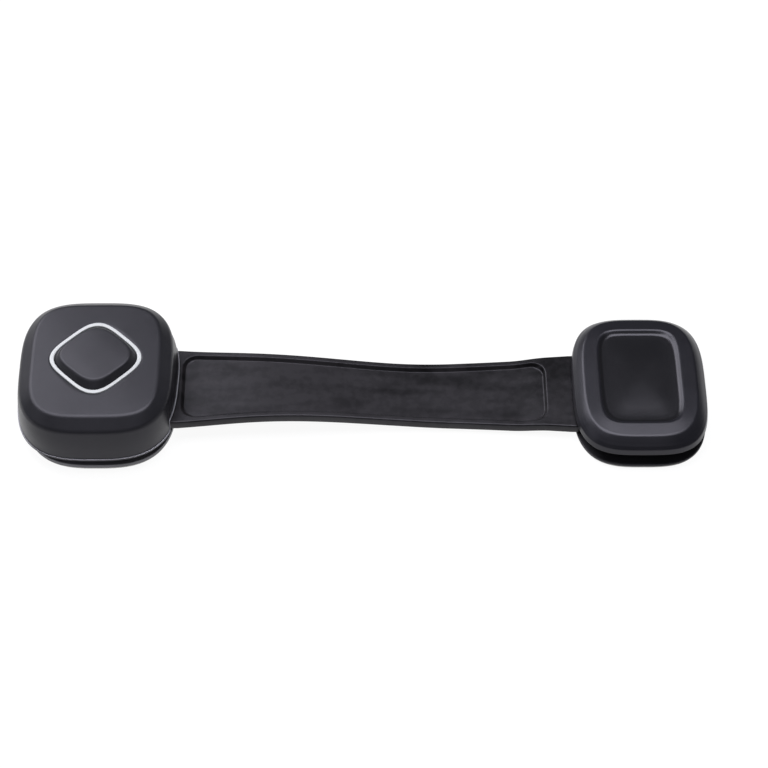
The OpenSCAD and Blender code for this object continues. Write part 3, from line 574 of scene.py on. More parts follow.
def cap_plastic(name, colour, dish_colour, sizes):
    """The cap's satin plastic, darker and more polished in the dish."""
    finish = Finish(name)
    half_width = sizes.width / 2 - sizes.dish_in - sizes.dish_wall / 2
    half_depth = sizes.depth / 2 - sizes.dish_in - sizes.dish_wall / 2
    across = ((finish.along(0) - ANCHOR_X) * (1 / half_width)).maths("ABSOLUTE")
    deep = ((finish.along(1) - sizes.dish_back) * (1 / half_depth)).maths("ABSOLUTE")
    reach = across.maths("POWER", DISH_SQUARENESS) + deep.maths("POWER", DISH_SQUARENESS)
    inside = 1 - reach.between(0.85, 1.2)
    bed = sizes.top - sizes.dish_depth
    dish = inside * finish.along(2).between(bed - sizes.dish_depth, bed)
    grains = finish.noise(GRAIN)
    clouds = finish.noise(CLOUDS, 3.0, 0.6)
    satin = finish.toned(clouds.between(0.3, 0.7), colour, 0.88, 1.12)
    return finish.set(
        Base_Color=finish.mix(dish, satin, dish_colour),
        Roughness=0.30 + (clouds - 0.5) * 0.06 + (grains - 0.5) * 0.05 - dish * 0.06,
        Specular_IOR_Level=CAP_GLOSS,
        Specular_Tint=GLOSS_TINT,
        Normal=finish.bump(grains * (1 - dish * 0.7), 0.35, 0.035 * MM),
    )


def strap_moulding(name, colour):
    """Flexible moulding: soft flow streaks along the strap, mottled, and painted lighter on its
    latch half as a sheen.
    """
    finish = Finish(name)
    streaks = finish.noise(1.0, 1.0, 0.4, finish.stretched(45, 260, 60))
    mottle = finish.noise(130, 1.0, 0.4, finish.stretched(0.6, 1, 1))
    grains = finish.noise(3600)
    flecks = finish.noise(420)
    cloudy = (streaks.between(0.38, 0.62) * 0.4 + mottle.between(0.38, 0.62) * 0.3
              + flecks.between(0.38, 0.62) * 0.3)
    # Painted sheen: the strap's colour is lighter round one place towards the latch and fades away
    # from it
    off_middle = ((finish.along(0) - SHEEN_X) * (1 / SHEEN_REACH)).maths("ABSOLUTE")
    rubbed_and_sheen = 1 - off_middle.between(0.2, 1.0)
    return finish.set(
        Base_Color=finish.toned(cloudy * 0.9 + rubbed_and_sheen * 0.5, colour, 0.1, 3.0),
        Roughness=0.31 + (mottle - 0.5) * 0.05 + (streaks - 0.5) * 0.05,
        Specular_IOR_Level=STRAP_GLOSS,
        Specular_Tint=GLOSS_TINT,
        Normal=finish.bump(grains, 0.15, 0.015 * MM),
    )


def grey_trim(name, colour):
    """Light grey moulded plastic, nearly even."""
    finish = Finish(name)
    clouds = finish.noise(300)
    grains = finish.noise(4200)
    return finish.set(
        Base_Color=finish.toned(clouds, colour, 0.96, 1.03),
        Roughness=0.32 + (grains - 0.5) * 0.08,
        Normal=finish.bump(grains, 0.12, 0.02 * MM),
    )


def adhesive_foam(name, colour):
    """Matt white foam with open cells."""
    finish = Finish(name)
    cells = finish.node("ShaderNodeTexVoronoi", {"feature": "F1"},
                        {"Vector": finish.place, "Scale": 2600.0})
    clouds = finish.noise(180, 3.0)
    return finish.set(
        Base_Color=finish.toned(clouds, colour, 0.93, 1.03),
        Roughness=0.9,
        Normal=finish.bump(cells, 0.5, 0.15 * MM),
    )


def natural_acetal(name, colour):
    """Uncoloured acetal, which light enters a little way."""
    finish = Finish(name)
    clouds = finish.noise(140, 3.0)
    grains = finish.noise(3000)
    return finish.set(
        Base_Color=finish.toned(clouds, colour, 0.94, 1.03),
        Roughness=0.38 + (clouds - 0.5) * 0.1,
        Subsurface_Weight=0.08,
        Subsurface_Scale=0.5 * MM,
        Normal=finish.bump(grains, 0.15, 0.02 * MM),
    )


def plated_steel(name, colour):
    """Turned steel with a cloudy zinc plating."""
    finish = Finish(name)
    turned = finish.noise(1.0, 3.0, 0.6, finish.stretched(900, 900, 9000))
    clouds = finish.noise(400, 3.0)
    return finish.set(
        Base_Color=finish.toned(clouds, colour, 0.9, 1.05),
        Metallic=1.0,
        Roughness=0.42 + (clouds - 0.5) * 0.12,
        Normal=finish.bump(turned, 0.15, 0.01 * MM),
    )


def finish_named(name):
    """The finish of that name, made when first asked for."""
    ready = bpy.data.materials.get(name)
    if ready:
        return ready
    colours = bpy.context.scene.lock_colours
    makers = {
        "Housing plastic": lambda: moulded_plastic(name, colours.housing, 0.36),
        "Button plastic": lambda: moulded_plastic(name, colours.button, 0.38, 0.8),
        # Glossy lip, its light colour a painted highlight along the rim
        "Rim edge highlight": lambda: moulded_plastic(name, colours.edge, 0.33, 0.02, 1.0),
        "Plate plastic": lambda: moulded_plastic(name, colours.plate, 0.42, 1.0, 0.5),
        "Inner plastic": lambda: moulded_plastic(name, colours.base, 0.45),
        "Cap plastic": lambda: cap_plastic(name, colours.cap, colours.dish,
                                           bpy.context.scene.lock_cap),
        "Strap moulding": lambda: strap_moulding(name, colours.strap),
        "Grey trim": lambda: grey_trim(name, colours.ring),
        "Adhesive foam": lambda: adhesive_foam(name, colours.foam),
        "Natural acetal": lambda: natural_acetal(name, colours.acetal),
        "Plated steel": lambda: plated_steel(name, colours.steel),
    }
    return makers[name]()


# The pieces

# How far round the gate's corners the close points go, in widths of such a corner
GATE_SPREAD = 1.6
# Where across the gate its edge neither stands out nor in, as a share of its half width
GATE_LEVEL = 0.15
# The flat top's profile starts this far inside its edge
TOP_START = 2 * MM
# The rings of the flat top, as shares of the way from the ring's seat to its edge
TOP_SHARES = (0.12, 0.3, 0.5, 0.7, 0.85)


class LOCK_OT_housing(bpy.types.Operator):
    """Builds the latch's shell: rim, side wall, shoulder, crowned top, ring seat and gate"""

    bl_idname = "lock.housing"
    bl_label = "Latch housing"

    def execute(self, context):
        sizes, button = context.scene.lock_housing, context.scene.lock_button
        base = context.scene.lock_base
        crease_z = sizes.top - sizes.crease_drop
        edge_z = sizes.top - sizes.crown
        gate_angle = math.atan2(sizes.gate_half, sizes.width / 2)
        spread = GATE_SPREAD * sizes.gate_corner / sizes.width
        gate_angles = np.linspace(gate_angle - spread, gate_angle + spread, GATE_POINTS)
        angles = np.sort(np.concatenate((EVEN_ANGLES, gate_angles, 2 * math.pi - gate_angles)))
        bulge = (BULGE_IN * sizes.crease_in, sizes.rim + BULGE_RISE * (crease_z - sizes.rim))
        ceiling = sizes.top - sizes.wall
        inner_plateau = sizes.plateau_in + sizes.wall / 2
        top_half, top_deep = sizes.width / 2 - sizes.plateau_in, sizes.depth / 2 - sizes.plateau_in

        def outline(inset, z):
            squareness = np.interp(z, (sizes.rim, crease_z, edge_z), (
                RIM_SQUARENESS,
                RIM_SQUARENESS + CREASE_BLEND * (TOP_SQUARENESS - RIM_SQUARENESS),
                TOP_SQUARENESS,
            ))
            half_width, half_depth = sizes.width / 2 - inset, sizes.depth / 2 - inset
            plain = soft_square(half_width, half_depth, squareness, angles)
            aside = sizes.gate_half + sizes.gate_corner / 2 - np.abs(plain[:, 1])
            open_share = np.clip(aside / sizes.gate_corner, 0, 1)
            open_share = open_share * open_share * (3 - 2 * open_share) * (plain[:, 0] > 0)
            fade = np.interp(z, (sizes.rim + 2 * MM, crease_z - 2 * MM), (1, 0))
            lift = sizes.gate_rise * open_share * fade
            skew = plain[:, 1] / sizes.gate_half - GATE_LEVEL
            flare = sizes.gate_flare * open_share * fade * skew
            shifted = soft_square(half_width + flare, half_depth, squareness, angles)
            back = sizes.plateau_back * (inset < wall_in)
            back *= np.interp(z, (sizes.rim + 2 * MM, crease_z, edge_z), (0, CREASE_SHIFT, 1))
            return at_height(shifted, z + lift, LATCH_X, back)

        def crowned(plan, drop=0.0):
            """Points of the crowned top over places in plan, counted from its middle."""
            across, along = plan[:, 0] / top_half, (plan[:, 1] - sizes.plateau_back) / top_deep
            reach = (np.abs(across) ** TOP_SQUARENESS
                     + np.abs(along) ** TOP_SQUARENESS) ** (2 / TOP_SQUARENESS)
            return at_height(plan, sizes.top - drop - sizes.crown * reach, LATCH_X)

        lip_z = sizes.rim + sizes.lip_rise
        wall_in = sizes.plateau_in + TOP_START + SUPPORT
        soft = sizes.lip_soft
        outside = rounded(
            (sizes.plateau_in + TOP_START,
             sizes.top - sizes.crown * (1 - TOP_START / top_half) ** 2, 0),
            (sizes.plateau_in, edge_z, sizes.plateau_soft),
            (sizes.crease_in, crease_z, sizes.crease_soft),
            (*bulge, BULGE_SOFT),
            (sizes.lip_out, lip_z + soft, soft / 2),
            (soft / 4, lip_z, soft / 2),
            (0, sizes.rim, soft),
            (sizes.wall, sizes.rim, soft),
            (sizes.crease_in + sizes.wall, crease_z - MM, MM),
            (inner_plateau, ceiling, 0),
            longest=RING_STEP,
        )
        rings = [outline(inset, z) for inset, z in outside]
        hole, seat_half = button.ring_half - button.ring_width, button.ring_half + FIT
        seat = ((hole, ceiling), (hole, button.ring_foot), (seat_half, button.ring_foot))
        rings += [at_height(diamond(half, angles), z, LATCH_X, BUTTON_Y) for half, z in seat]
        soft = sizes.seat_soft
        for grow, drop in ((0, soft), (soft / 4, soft / 4), (soft, 0)):
            lip = diamond(seat_half + grow, angles) + (0, BUTTON_Y)
            rings.append(crowned(lip, drop))
        far = rings[0][:, :2] - (LATCH_X, 0)
        rings += [crowned(lip + (far - lip) * share) for share in TOP_SHARES]
        shell = Shape().rings(rings, looped=True)
        # The lip's faces take the second finish, whose light colour is a painted highlight along
        # the rim
        lip = [k for k, (inset, z) in enumerate(outside)
               if inset < sizes.lip_out + soft and lip_z - soft < z < lip_z + soft]
        shell.trim = range(lip[0] * len(angles), lip[-1] * len(angles))
        foot = HOUSING_BOX[0].z
        boss = [(base.boss_half, foot), (base.boss_half, ceiling + sizes.wall / 2)]
        bore = [(base.screw_half + FIT, foot - MM), (base.screw_half + FIT, base.bore_top)]
        for x, y in screw_places("housing_screws"):
            shell.lathe(boss, x, y)
        piece = shell.build("housing_shell")
        piece.data.materials.append(finish_named("Housing plastic"))
        # Second slot: the lip's glossy finish with its painted highlight
        piece.data.materials.append(finish_named("Rim edge highlight"))
        cut_away(piece, [Shape().lathe(bore, x, y).build("bore")
                         for x, y in screw_places("housing_screws")])
        deliver(piece, "latch", finish_named("Housing plastic"), "housing_black", "latch_housing")
        return {"FINISHED"}


def screw_places(node):
    """Where the four screws of a node stand, from its box and the width of their heads."""
    low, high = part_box(node)
    head = bpy.context.scene.lock_base.head_half
    return [(x, y) for x in (low.x + head, high.x - head) for y in (low.y + head, high.y - head)]


class LOCK_OT_ring(bpy.types.Operator):
    """Builds the light grey trim ring round the button"""

    bl_idname = "lock.ring"
    bl_label = "Trim ring"

    def execute(self, context):
        sizes = context.scene.lock_button
        outer, inner = sizes.ring_half, sizes.ring_half - sizes.ring_width
        profile = rounded(
            (outer, sizes.ring_foot, 0),
            (outer, sizes.ring_top, sizes.ring_soft),
            (inner, sizes.ring_top, sizes.ring_soft),
            (inner, sizes.ring_foot, 0),
        )
        rings = [at_height(diamond(half), z, LATCH_X, BUTTON_Y) for half, z in profile]
        piece = Shape().rings(rings, looped=True).build("trim_ring")
        deliver(piece, "latch", finish_named("Grey trim"), "ring_grey", "button_ring")
        return {"FINISHED"}


# Room round the spring in its pocket
SPRING_ROOM = 0.3 * MM
# Where the button's crown turns, as a share of the top's half width, and its rounding
CROWN_SHARE = 0.55
CROWN_SOFT = 1.5 * MM
# How far the wedges reach into the flange, and the softening of their ends
WEDGE_ROOT = 0.3 * MM
WEDGE_SOFT = 0.2 * MM
WEDGE_END = 0.95


class LOCK_OT_button(bpy.types.Operator):
    """Builds the release button: crowned diamond, skirt, flange, spring pocket and two wedges"""

    bl_idname = "lock.button"
    bl_label = "Release button"

    def execute(self, context):
        sizes = context.scene.lock_button
        shank = sizes.ring_half - sizes.ring_width - sizes.gap
        flange = sizes.ring_half - sizes.ring_width + sizes.flange_lip
        top = shank - sizes.lean
        foot = context.scene.lock_housing.top - sizes.foot_soft / 2
        pocket = span(SPRING_BOX, 0) / 2 + SPRING_ROOM
        profile = rounded(
            (flange, sizes.flange_foot, 0),
            (flange, sizes.flange_top, 0),
            (shank, sizes.flange_top, 0),
            (shank, foot, sizes.foot_soft),
            (top, sizes.top - sizes.crown, sizes.edge_soft),
            (top * CROWN_SHARE, sizes.top - sizes.crown / 5, CROWN_SOFT),
            (top * 0.1, sizes.top, 0),
        )
        under = [(pocket * 0.1, SPRING_BOX[1].z), (pocket, SPRING_BOX[1].z),
                 (pocket, sizes.flange_foot)]
        rings = [at_height(circle(r), z, LATCH_X) for r, z in under]
        for half, z in profile:
            share = np.clip((shank - half) / sizes.lean, 0, 1)
            squareness = DIAMOND_SQUARENESS + share * (BUTTON_TOP_SQUARENESS - DIAMOND_SQUARENESS)
            outline = soft_square(half, half, squareness, EVEN_ANGLES, math.pi / 4)
            stretch = BUTTON_TOP_STRETCH * share
            rings.append(at_height(outline * (1 + stretch, 1 - stretch), z, LATCH_X, BUTTON_Y))
        form = Shape().rings(rings)
        for side in (-1, 1):
            self.wedge(form, side, sizes)
        piece = form.build("button_form")
        deliver(piece, "button", finish_named("Button plastic"), "button_black", "release_button")
        return {"FINISHED"}

    def wedge(self, form, side, sizes):
        """One of the button's two wedges, which spread the catch."""
        low, high = BUTTON_BOX[0].z, sizes.flange_foot + WEDGE_ROOT
        inner, tip, wide = sizes.wedge_inner, sizes.wedge_tip, sizes.wedge_wide
        finish = LATCH_X - sizes.wedge_back
        start = finish - sizes.wedge_run
        outline = np.array([(inner, low), (tip, low), (wide, low + wide - tip),
                            (wide, high), (inner, high)])
        centre = outline.mean(axis=0)
        rings = []
        for x, share in ((start, WEDGE_END), (start + WEDGE_SOFT, 1),
                         (finish - WEDGE_SOFT, 1), (finish, WEDGE_END)):
            drawn = centre + (outline - centre) * share
            rings.append(np.column_stack((np.full(len(drawn), x), side * drawn[:, 0], drawn[:, 1])))
        form.rings(rings)


def ease(x, start, finish):
    """Rises smoothly from 0 to 1 while x goes from start to finish."""
    return (1 - np.cos(math.pi * np.clip((x - start) / (finish - start), 0, 1))) / 2


def corner_loss(distance, radius):
    """How much narrower a rounded end is at a distance from it."""
    short = np.clip(radius - distance, 0, radius)
    return radius - np.sqrt(radius * radius - short * short)


# Course of the strap between the latch and the cap, as shares of that run
HUMP_SHARE = 0.205
STEP_SHARE = 0.695
DIP_SHARE = 0.84
WAIST_SHARE = 0.55
LATCH_FLARE = 1.9
CAP_FLARE = 1.55
# How far the anchor plate's corners sweep when it turns, as a share of their distance
SWEEP_SHARE = 0.82
# Corner radius of the strap's end under the cap, as a share of the end's length there
END_CORNER_SHARE = 0.75
# How soft the upper and lower edges of the recess's wall are, as a share of its width
RECESS_SOFT = 0.17
# Steps along the strap in the recess's corners and between them
FINE_STEP = 0.22 * MM
PLAIN_STEP = 1.1 * MM


class LOCK_OT_strap(bpy.types.Operator):
    """Builds the flexible strap with its long recess, and the pockets for what it carries"""

    bl_idname = "lock.strap"
    bl_label = "Strap"

    def execute(self, context):
        sizes = context.scene.lock_strap
        run = CAP_EDGE_X - GATE_X
        hump, step, dip = (GATE_X + run * share for share in (HUMP_SHARE, STEP_SHARE, DIP_SHARE))
        sweep = math.hypot(span(ANCHOR_PLATE_BOX, 0), span(ANCHOR_PLATE_BOX, 1)) / 2
        rise = ANCHOR_X - sweep * SWEEP_SHARE
        waist = GATE_X + run * WAIST_SHARE
        start, finish = STRAP_BOX[0].x, STRAP_BOX[1].x
        recess = (GATE_X + sizes.recess_rim / 2, CAP_EDGE_X - sizes.recess_stop)
        end_corner = (finish - ANCHOR_X) * END_CORNER_SHARE

        def foot(x):
            return (sizes.latch_foot
                    + (sizes.high_foot - sizes.latch_foot) * ease(x, GATE_X, hump)
                    - (sizes.high_foot - sizes.low_foot) * ease(x, hump, step)
                    + (sizes.anchor_foot - sizes.low_foot) * ease(x, dip, rise))

        def half_width(x):
            near_latch = np.clip((waist - x) / (waist - GATE_X), 0, 1) ** LATCH_FLARE
            near_cap = np.clip((x - waist) / (CAP_EDGE_X - waist), 0, 1) ** CAP_FLARE
            return (sizes.waist_half
                    + (sizes.latch_half - sizes.waist_half) * near_latch
                    + (sizes.anchor_half - sizes.waist_half) * near_cap)

        def trimmed(x):
            return (half_width(x) - corner_loss(finish - x, end_corner)
                    - corner_loss(x - start, 2 * sizes.edge_soft))

        def sunk(x, y):
            """Depth of the recess at a place in plan."""
            from_end = np.minimum(x - recess[0], recess[1] - x)
            from_side = half_width(x) - sizes.recess_rim - np.abs(y)
            corner = sizes.recess_corner
            inside = corner - np.hypot(np.clip(corner - from_end, 0, None),
                                       np.clip(corner - from_side, 0, None))
            share = np.clip(inside / sizes.recess_wall, -0.5, 1.5)
            soft = RECESS_SOFT
            slope = np.sqrt(share ** 2 + soft ** 2) - np.sqrt((share - 1) ** 2 + soft ** 2)
            full = np.sqrt(1 + soft ** 2) - soft
            return sizes.recess_depth * np.clip((slope + full) / (2 * full), 0, 1)

        stations = self.stations(start, finish, recess, end_corner, sizes)
        offsets = self.offsets(sizes)
        edge = sizes.edge_soft
        quarter = np.linspace(0, math.pi / 2, 6)
        rings = []
        for x in stations:
            half, low = trimmed(x), foot(x)
            top = low + sizes.thickness
            below = [(half - edge + edge * math.sin(t), low + edge - edge * math.cos(t))
                     for t in quarter]
            above = [(half - edge + edge * math.cos(t), top - edge + edge * math.sin(t))
                     for t in quarter]
            inner = []
            for offset in offsets:
                y = half_width(x) - offset
                y = y * (half - edge) / (half_width(x) - edge)
                inner.append((y, top - float(sunk(x, y))))
            right = [(half / 2, low)] + below + above + inner
            left = [(-y, z) for y, z in reversed(right)]
            middle_top = top - float(sunk(x, 0.0))
            ring = right + [(0.0, middle_top)] + left + [(0.0, low)]
            rings.append([(x, y, z) for y, z in ring])
        piece = Shape().rings(rings).build("strap_form")
        cut_away(piece, strap_cutters(sizes))
        deliver(piece, "strap_arm", finish_named("Strap moulding"), "strap_rubber", "strap")
        return {"FINISHED"}

    def stations(self, start, finish, recess, end_corner, sizes):
        """Places along the strap, close together where the recess and the end turn corners."""
        corner = sizes.recess_corner + MM
        near = np.arange(-0.6 * MM, corner, FINE_STEP)
        runs = (
            np.linspace(start, recess[0] - 0.8 * MM, 12),
            recess[0] + near,
            np.arange(recess[0] + corner, recess[1] - corner, PLAIN_STEP),
            recess[1] - near[::-1],
            np.linspace(recess[1] + 0.8 * MM, finish - end_corner, 16),
            finish - end_corner * (1 - np.sin(np.linspace(0, math.pi / 2, 22))),
        )
        return np.unique(np.round(np.concatenate(runs), 7))

    def offsets(self, sizes):
        """Distances in from the edge of the strap, close together at the recess's wall."""
        rim, wall = sizes.recess_rim, sizes.recess_wall
        runs = (
            np.linspace(sizes.edge_soft, rim - 0.3 * MM, 4)[1:],
            np.linspace(rim - 0.2 * MM, rim + wall + 0.3 * MM, 13),
            np.linspace(rim + wall + 0.5 * MM, rim + sizes.recess_corner, 10),
            np.linspace(rim + sizes.recess_corner + 0.8 * MM, 10.6 * MM, 4),
        )
        return np.concatenate(runs)


def block(low, high):
    """Block between two corners."""
    plan = np.array([(low[0], low[1]), (high[0], low[1]), (high[0], high[1]), (low[0], high[1])])
    return Shape().rings([at_height(plan, low[2]), at_height(plan, high[2])])


def strap_cutters(sizes):
    """Room in the strap for the tongue's lap, the rivets, the swivel plate, its hub and screws."""
    base = bpy.context.scene.lock_base
    start, foot, over = STRAP_BOX[0].x, sizes.latch_foot, sizes.thickness + MM
    lap_top = foot + sizes.lap + FIT
    cutters = [block((start - MM, -TONGUE_BOX[1].y - FIT, foot - MM),
                     (TONGUE_BOX[1].x + FIT, TONGUE_BOX[1].y + FIT, lap_top)).build("lap")]
    rivet_x, head = middle(LAP_BOX, 0), span(LAP_BOX, 0) / 2
    step = LAP_BOX[1].z - sizes.rivet_head
    bore = [(sizes.rivet_half + FIT, foot), (sizes.rivet_half + FIT, step), (head + FIT, step),
            (head + FIT, foot + over)]
    for y in (LAP_BOX[0].y + head, LAP_BOX[1].y - head):
        cutters.append(Shape().lathe(bore, rivet_x, y).build("rivet_bore"))
    foot = sizes.anchor_foot
    half = span(SWIVEL_BOX, 0) / 2 + FIT
    plan = soft_square(half, half, SWIVEL_SQUARENESS)
    pocket = [at_height(plan, z, ANCHOR_X) for z in (foot - MM, foot + sizes.lap + FIT)]
    cutters.append(Shape().rings(pocket).build("swivel_pocket"))
    bore = [(base.hub_half + FIT, foot - MM), (base.hub_half + FIT, foot + over)]
    cutters.append(Shape().lathe(bore, ANCHOR_X, 0, 96).build("hub_bore"))
    bore = [(base.screw_half + FIT, foot - MM), (base.screw_half + FIT, foot + over)]
    for x, y in screw_places("cap_screws"):
        cutters.append(Shape().lathe(bore, x, y, 32).build("screw_bore"))
    return cutters


# Where the cap's shoulder turns, as a share of the height from its band to its top
SHOULDER_RISE = 0.6
# Roundings of the dish's bed, the dish's edge, the top's edge and the shoulder
BED_SOFT = 0.5 * MM
DISH_SOFT = 0.45 * MM
TOP_SOFT = 0.5 * MM
SHOULDER_SOFT = MM
# Roundings of the band's upper and lower edge, and of the corners inside
BAND_SOFT = 0.3 * MM
RIM_SOFT = 0.25 * MM
INSIDE_SOFT = 0.4 * MM


class LOCK_OT_cap(bpy.types.Operator):
    """Builds the anchor's cap: upright band, sloped shoulder, crowned top and shallow dish"""

    bl_idname = "lock.cap"
    bl_label = "Anchor cap"

    def execute(self, context):
        sizes, base = context.scene.lock_cap, context.scene.lock_base
        band = sizes.rim + sizes.band
        edge_z = sizes.top - sizes.crown
        bed = sizes.top - sizes.dish_depth
        ceiling = sizes.top - sizes.roof
        slope = ((sizes.band_in + sizes.plateau_in) / 2, band + SHOULDER_RISE * (edge_z - band))
        deepest = sizes.dish_in + sizes.dish_wall
        outside = rounded(
            (deepest + 2 * MM, bed, 0),
            (deepest, bed, BED_SOFT),
            (sizes.dish_in, sizes.top, DISH_SOFT),
            (sizes.plateau_in, edge_z, TOP_SOFT),
            (*slope, SHOULDER_SOFT),
            (sizes.band_in, band, BAND_SOFT),
            (0, sizes.rim, RIM_SOFT),
            (sizes.wall, sizes.rim, BAND_SOFT),
            (sizes.wall, band - 0.5 * MM, INSIDE_SOFT),
            (sizes.plateau_in + sizes.wall, ceiling, TOP_SOFT),
            (sizes.plateau_in + sizes.wall + 3 * MM, ceiling, 0),
            longest=RING_STEP,
        )
        rings = []
        for inset, z in outside:
            near_dish = (inset - sizes.plateau_in - MM) / (sizes.dish_in - sizes.plateau_in - MM)
            near_dish = min(1, max(0, near_dish)) * (z > ceiling)
            squareness = CAP_SQUARENESS + (DISH_SQUARENESS - CAP_SQUARENESS) * near_dish
            plan = soft_square(sizes.width / 2 - inset, sizes.depth / 2 - inset, squareness)
            back = sizes.plateau_back * np.interp(z, (band, edge_z), (0, 1)) * (z > ceiling)
            back += (sizes.dish_back - sizes.plateau_back) * near_dish
            rings.append(at_height(plan, z, ANCHOR_X, back))
        over = middle_fill(rings[0], (ANCHOR_X, sizes.dish_back, bed), sizes.dish_crown)
        under = middle_fill(rings[-1], (ANCHOR_X, 0, ceiling))
        form = Shape().rings(over[::-1] + rings + under)
        foot = sizes.boss_foot
        for x, y in screw_places("cap_screws"):
            form.lathe([(base.boss_half, foot), (base.boss_half, ceiling + sizes.wall / 2)], x, y)
        piece = form.build("cap_form")
        deliver(piece, "strap_arm", finish_named("Cap plastic"), "cap_black", "anchor_cap")
        return {"FINISHED"}


# How far in from the edge the first and last ring of a plate and of a foam pad lie
PLATE_REACH = 4 * MM
PAD_REACH = 3 * MM


def slab_rings(box, squareness, top, foot_soft, top_soft, reach):
    """Outer surface of a plate or pad on its box's floor, with softened edges."""
    low = box[0].z
    half_width, half_depth = span(box, 0) / 2, span(box, 1) / 2
    profile = rounded((reach, low, 0), (0, low, foot_soft), (0, top, top_soft), (reach, top, 0))
    return [at_height(soft_square(half_width - inset, half_depth - inset, squareness), z,
                      middle(box, 0)) for inset, z in profile]


class LOCK_OT_plates(bpy.types.Operator):
    """Builds the two base plates, one with the post that the anchor turns on"""

    bl_idname = "lock.plates"
    bl_label = "Base plates"

    def execute(self, context):
        sizes = context.scene.lock_base
        low, top = LATCH_PLATE_BOX[0].z, LATCH_PLATE_BOX[1].z
        rings = slab_rings(LATCH_PLATE_BOX, LATCH_PLATE_SQUARENESS, top, sizes.foot_soft,
                           sizes.plate_soft, PLATE_REACH)
        under = middle_fill(rings[0], (middle(LATCH_PLATE_BOX, 0), 0, low))
        over = middle_fill(rings[-1], (middle(LATCH_PLATE_BOX, 0), 0, top))
        piece = Shape().rings(under[::-1] + rings + over).build("latch_plate")
        sink = [(sizes.head_half + FIT, low - MM), (sizes.head_half + FIT, low),
                (sizes.screw_half + FIT, low + sizes.head_rise), (sizes.screw_half + FIT, top + MM)]
        cut_away(piece, [Shape().lathe(sink, x, y).build("countersink")
                         for x, y in screw_places("housing_screws")])
        deliver(piece, "latch", finish_named("Plate plastic"), "base_black", "latch_base_plate")
        self.anchor_plate(sizes)
        return {"FINISHED"}

    def anchor_plate(self, sizes):
        low, post_top, top = ANCHOR_PLATE_BOX[0].z, ANCHOR_PLATE_BOX[1].z, sizes.anchor_top
        rings = slab_rings(ANCHOR_PLATE_BOX, ANCHOR_PLATE_SQUARENESS, top, sizes.foot_soft,
                           sizes.plate_soft, PLATE_REACH)
        under = middle_fill(rings[0], (ANCHOR_X, 0, low))
        post = rounded(
            (sizes.post_half, top, 0),
            (sizes.post_half, post_top, 0.25 * MM),
            (sizes.pivot_half, post_top, 0),
            (sizes.pivot_half, top, 0),
            (sizes.pivot_half / 10, top, 0),
        )
        rings += [at_height(circle(r), z, ANCHOR_X) for r, z in post]
        piece = Shape().rings(under[::-1] + rings).build("anchor_plate")
        deliver(piece, "anchor", finish_named("Inner plastic"), "base_black", "anchor_base_plate")


class LOCK_OT_pads(bpy.types.Operator):
    """Builds the two adhesive foam pads"""

    bl_idname = "lock.pads"
    bl_label = "Foam pads"

    def execute(self, context):
        soft = context.scene.lock_base.foot_soft
        pads = (
            ("latch_foam", "latch", "latch_adhesive_pad", LATCH_PLATE_SQUARENESS),
            ("anchor_foam", "anchor", "anchor_adhesive_pad", ANCHOR_PLATE_SQUARENESS),
        )
        for name, body, node, squareness in pads:
            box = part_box(node)
            rings = slab_rings(box, squareness, box[1].z, soft, soft, PAD_REACH)
            piece = Shape().rings(rings).build(name)
            deliver(piece, body, finish_named("Adhesive foam"), "foam_tape", node)
        return {"FINISHED"}


# The button's spring: wire, coils, and the steps along and round the wire
SPRING_WIRE = 0.6 * MM
SPRING_COILS = 5
COIL_STEPS = 24
WIRE_SIDES = 10


class LOCK_OT_spring(bpy.types.Operator):
    """Winds the coil spring under the button"""

    bl_idname = "lock.spring"
    bl_label = "Button spring"

    def execute(self, context):
        low = SPRING_BOX[0].z
        rise = span(SPRING_BOX, 2) - SPRING_WIRE
        x, y = middle(SPRING_BOX, 0), middle(SPRING_BOX, 1)
        around = np.linspace(0, 2 * math.pi, WIRE_SIDES, endpoint=False)
        radii = (span(SPRING_BOX, 0) - SPRING_WIRE + SPRING_WIRE * np.cos(around)) / 2
        heights = low + SPRING_WIRE * (1 + np.sin(around)) / 2
        rings = []
        for turn in np.linspace(0, SPRING_COILS, SPRING_COILS * COIL_STEPS + 1):
            angle = 2 * math.pi * turn
            rings.append(np.column_stack((x + radii * math.cos(angle), y + radii * math.sin(angle),
                                          heights + rise * turn / SPRING_COILS)))
        piece = Shape().rings(rings).build("spring_coil")
        deliver(piece, "latch", finish_named("Plated steel"), "spring_steel", "button_spring")
        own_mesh(piece)
        return {"FINISHED"}


class LOCK_OT_inner(bpy.types.Operator):
    """Gives the packed model's own hidden pieces their finishes"""

    bl_idname = "lock.inner"
    bl_label = "Inner pieces"

    def execute(self, context):
        finishes = {
            "Plate plastic": ("latch_chassis",),
            "Inner plastic": ("swivel_plate",),
            "Natural acetal": ("catch_clip", "strap_tongue", "slip_washer"),
            "Plated steel": ("catch_screws", "housing_screws", "tongue_rivets",
                             "cap_screws", "pivot_washer", "pivot_screw"),
        }
        for finish, nodes in finishes.items():
            for node in nodes:
                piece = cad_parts[node]
                if not piece.material_slots:
                    piece.data.materials.append(None)
                for place in piece.material_slots:
                    place.material = finish_named(finish)
        return {"FINISHED"}


# The stage

# Name, azimuth, elevation, distance, width, height and radiance of each softbox;
# azimuth 0 is behind the lock and 90 at its left
SOFTBOXES = (
    ("Top softbox", 5, 80, 1.0, 0.90, 0.60, 6.0),
    ("Back left softbox", 43, 41, 1.0, 0.60, 0.60, 4.8),
    ("Low left softbox", 52, 13, 1.1, 0.50, 0.40, 0.8),
    ("Left softbox", 100, 35, 0.9, 0.50, 0.40, 0.6),
    ("Front softbox", 180, 52, 1.2, 1.00, 0.60, 0.28),
)
FLOOR_RADIUS = 6.0
FLOOR_SIDES = 96
# How far the floor lies under the foam pads, so that the two don't flicker
FLOOR_DROP = 0.02 * MM


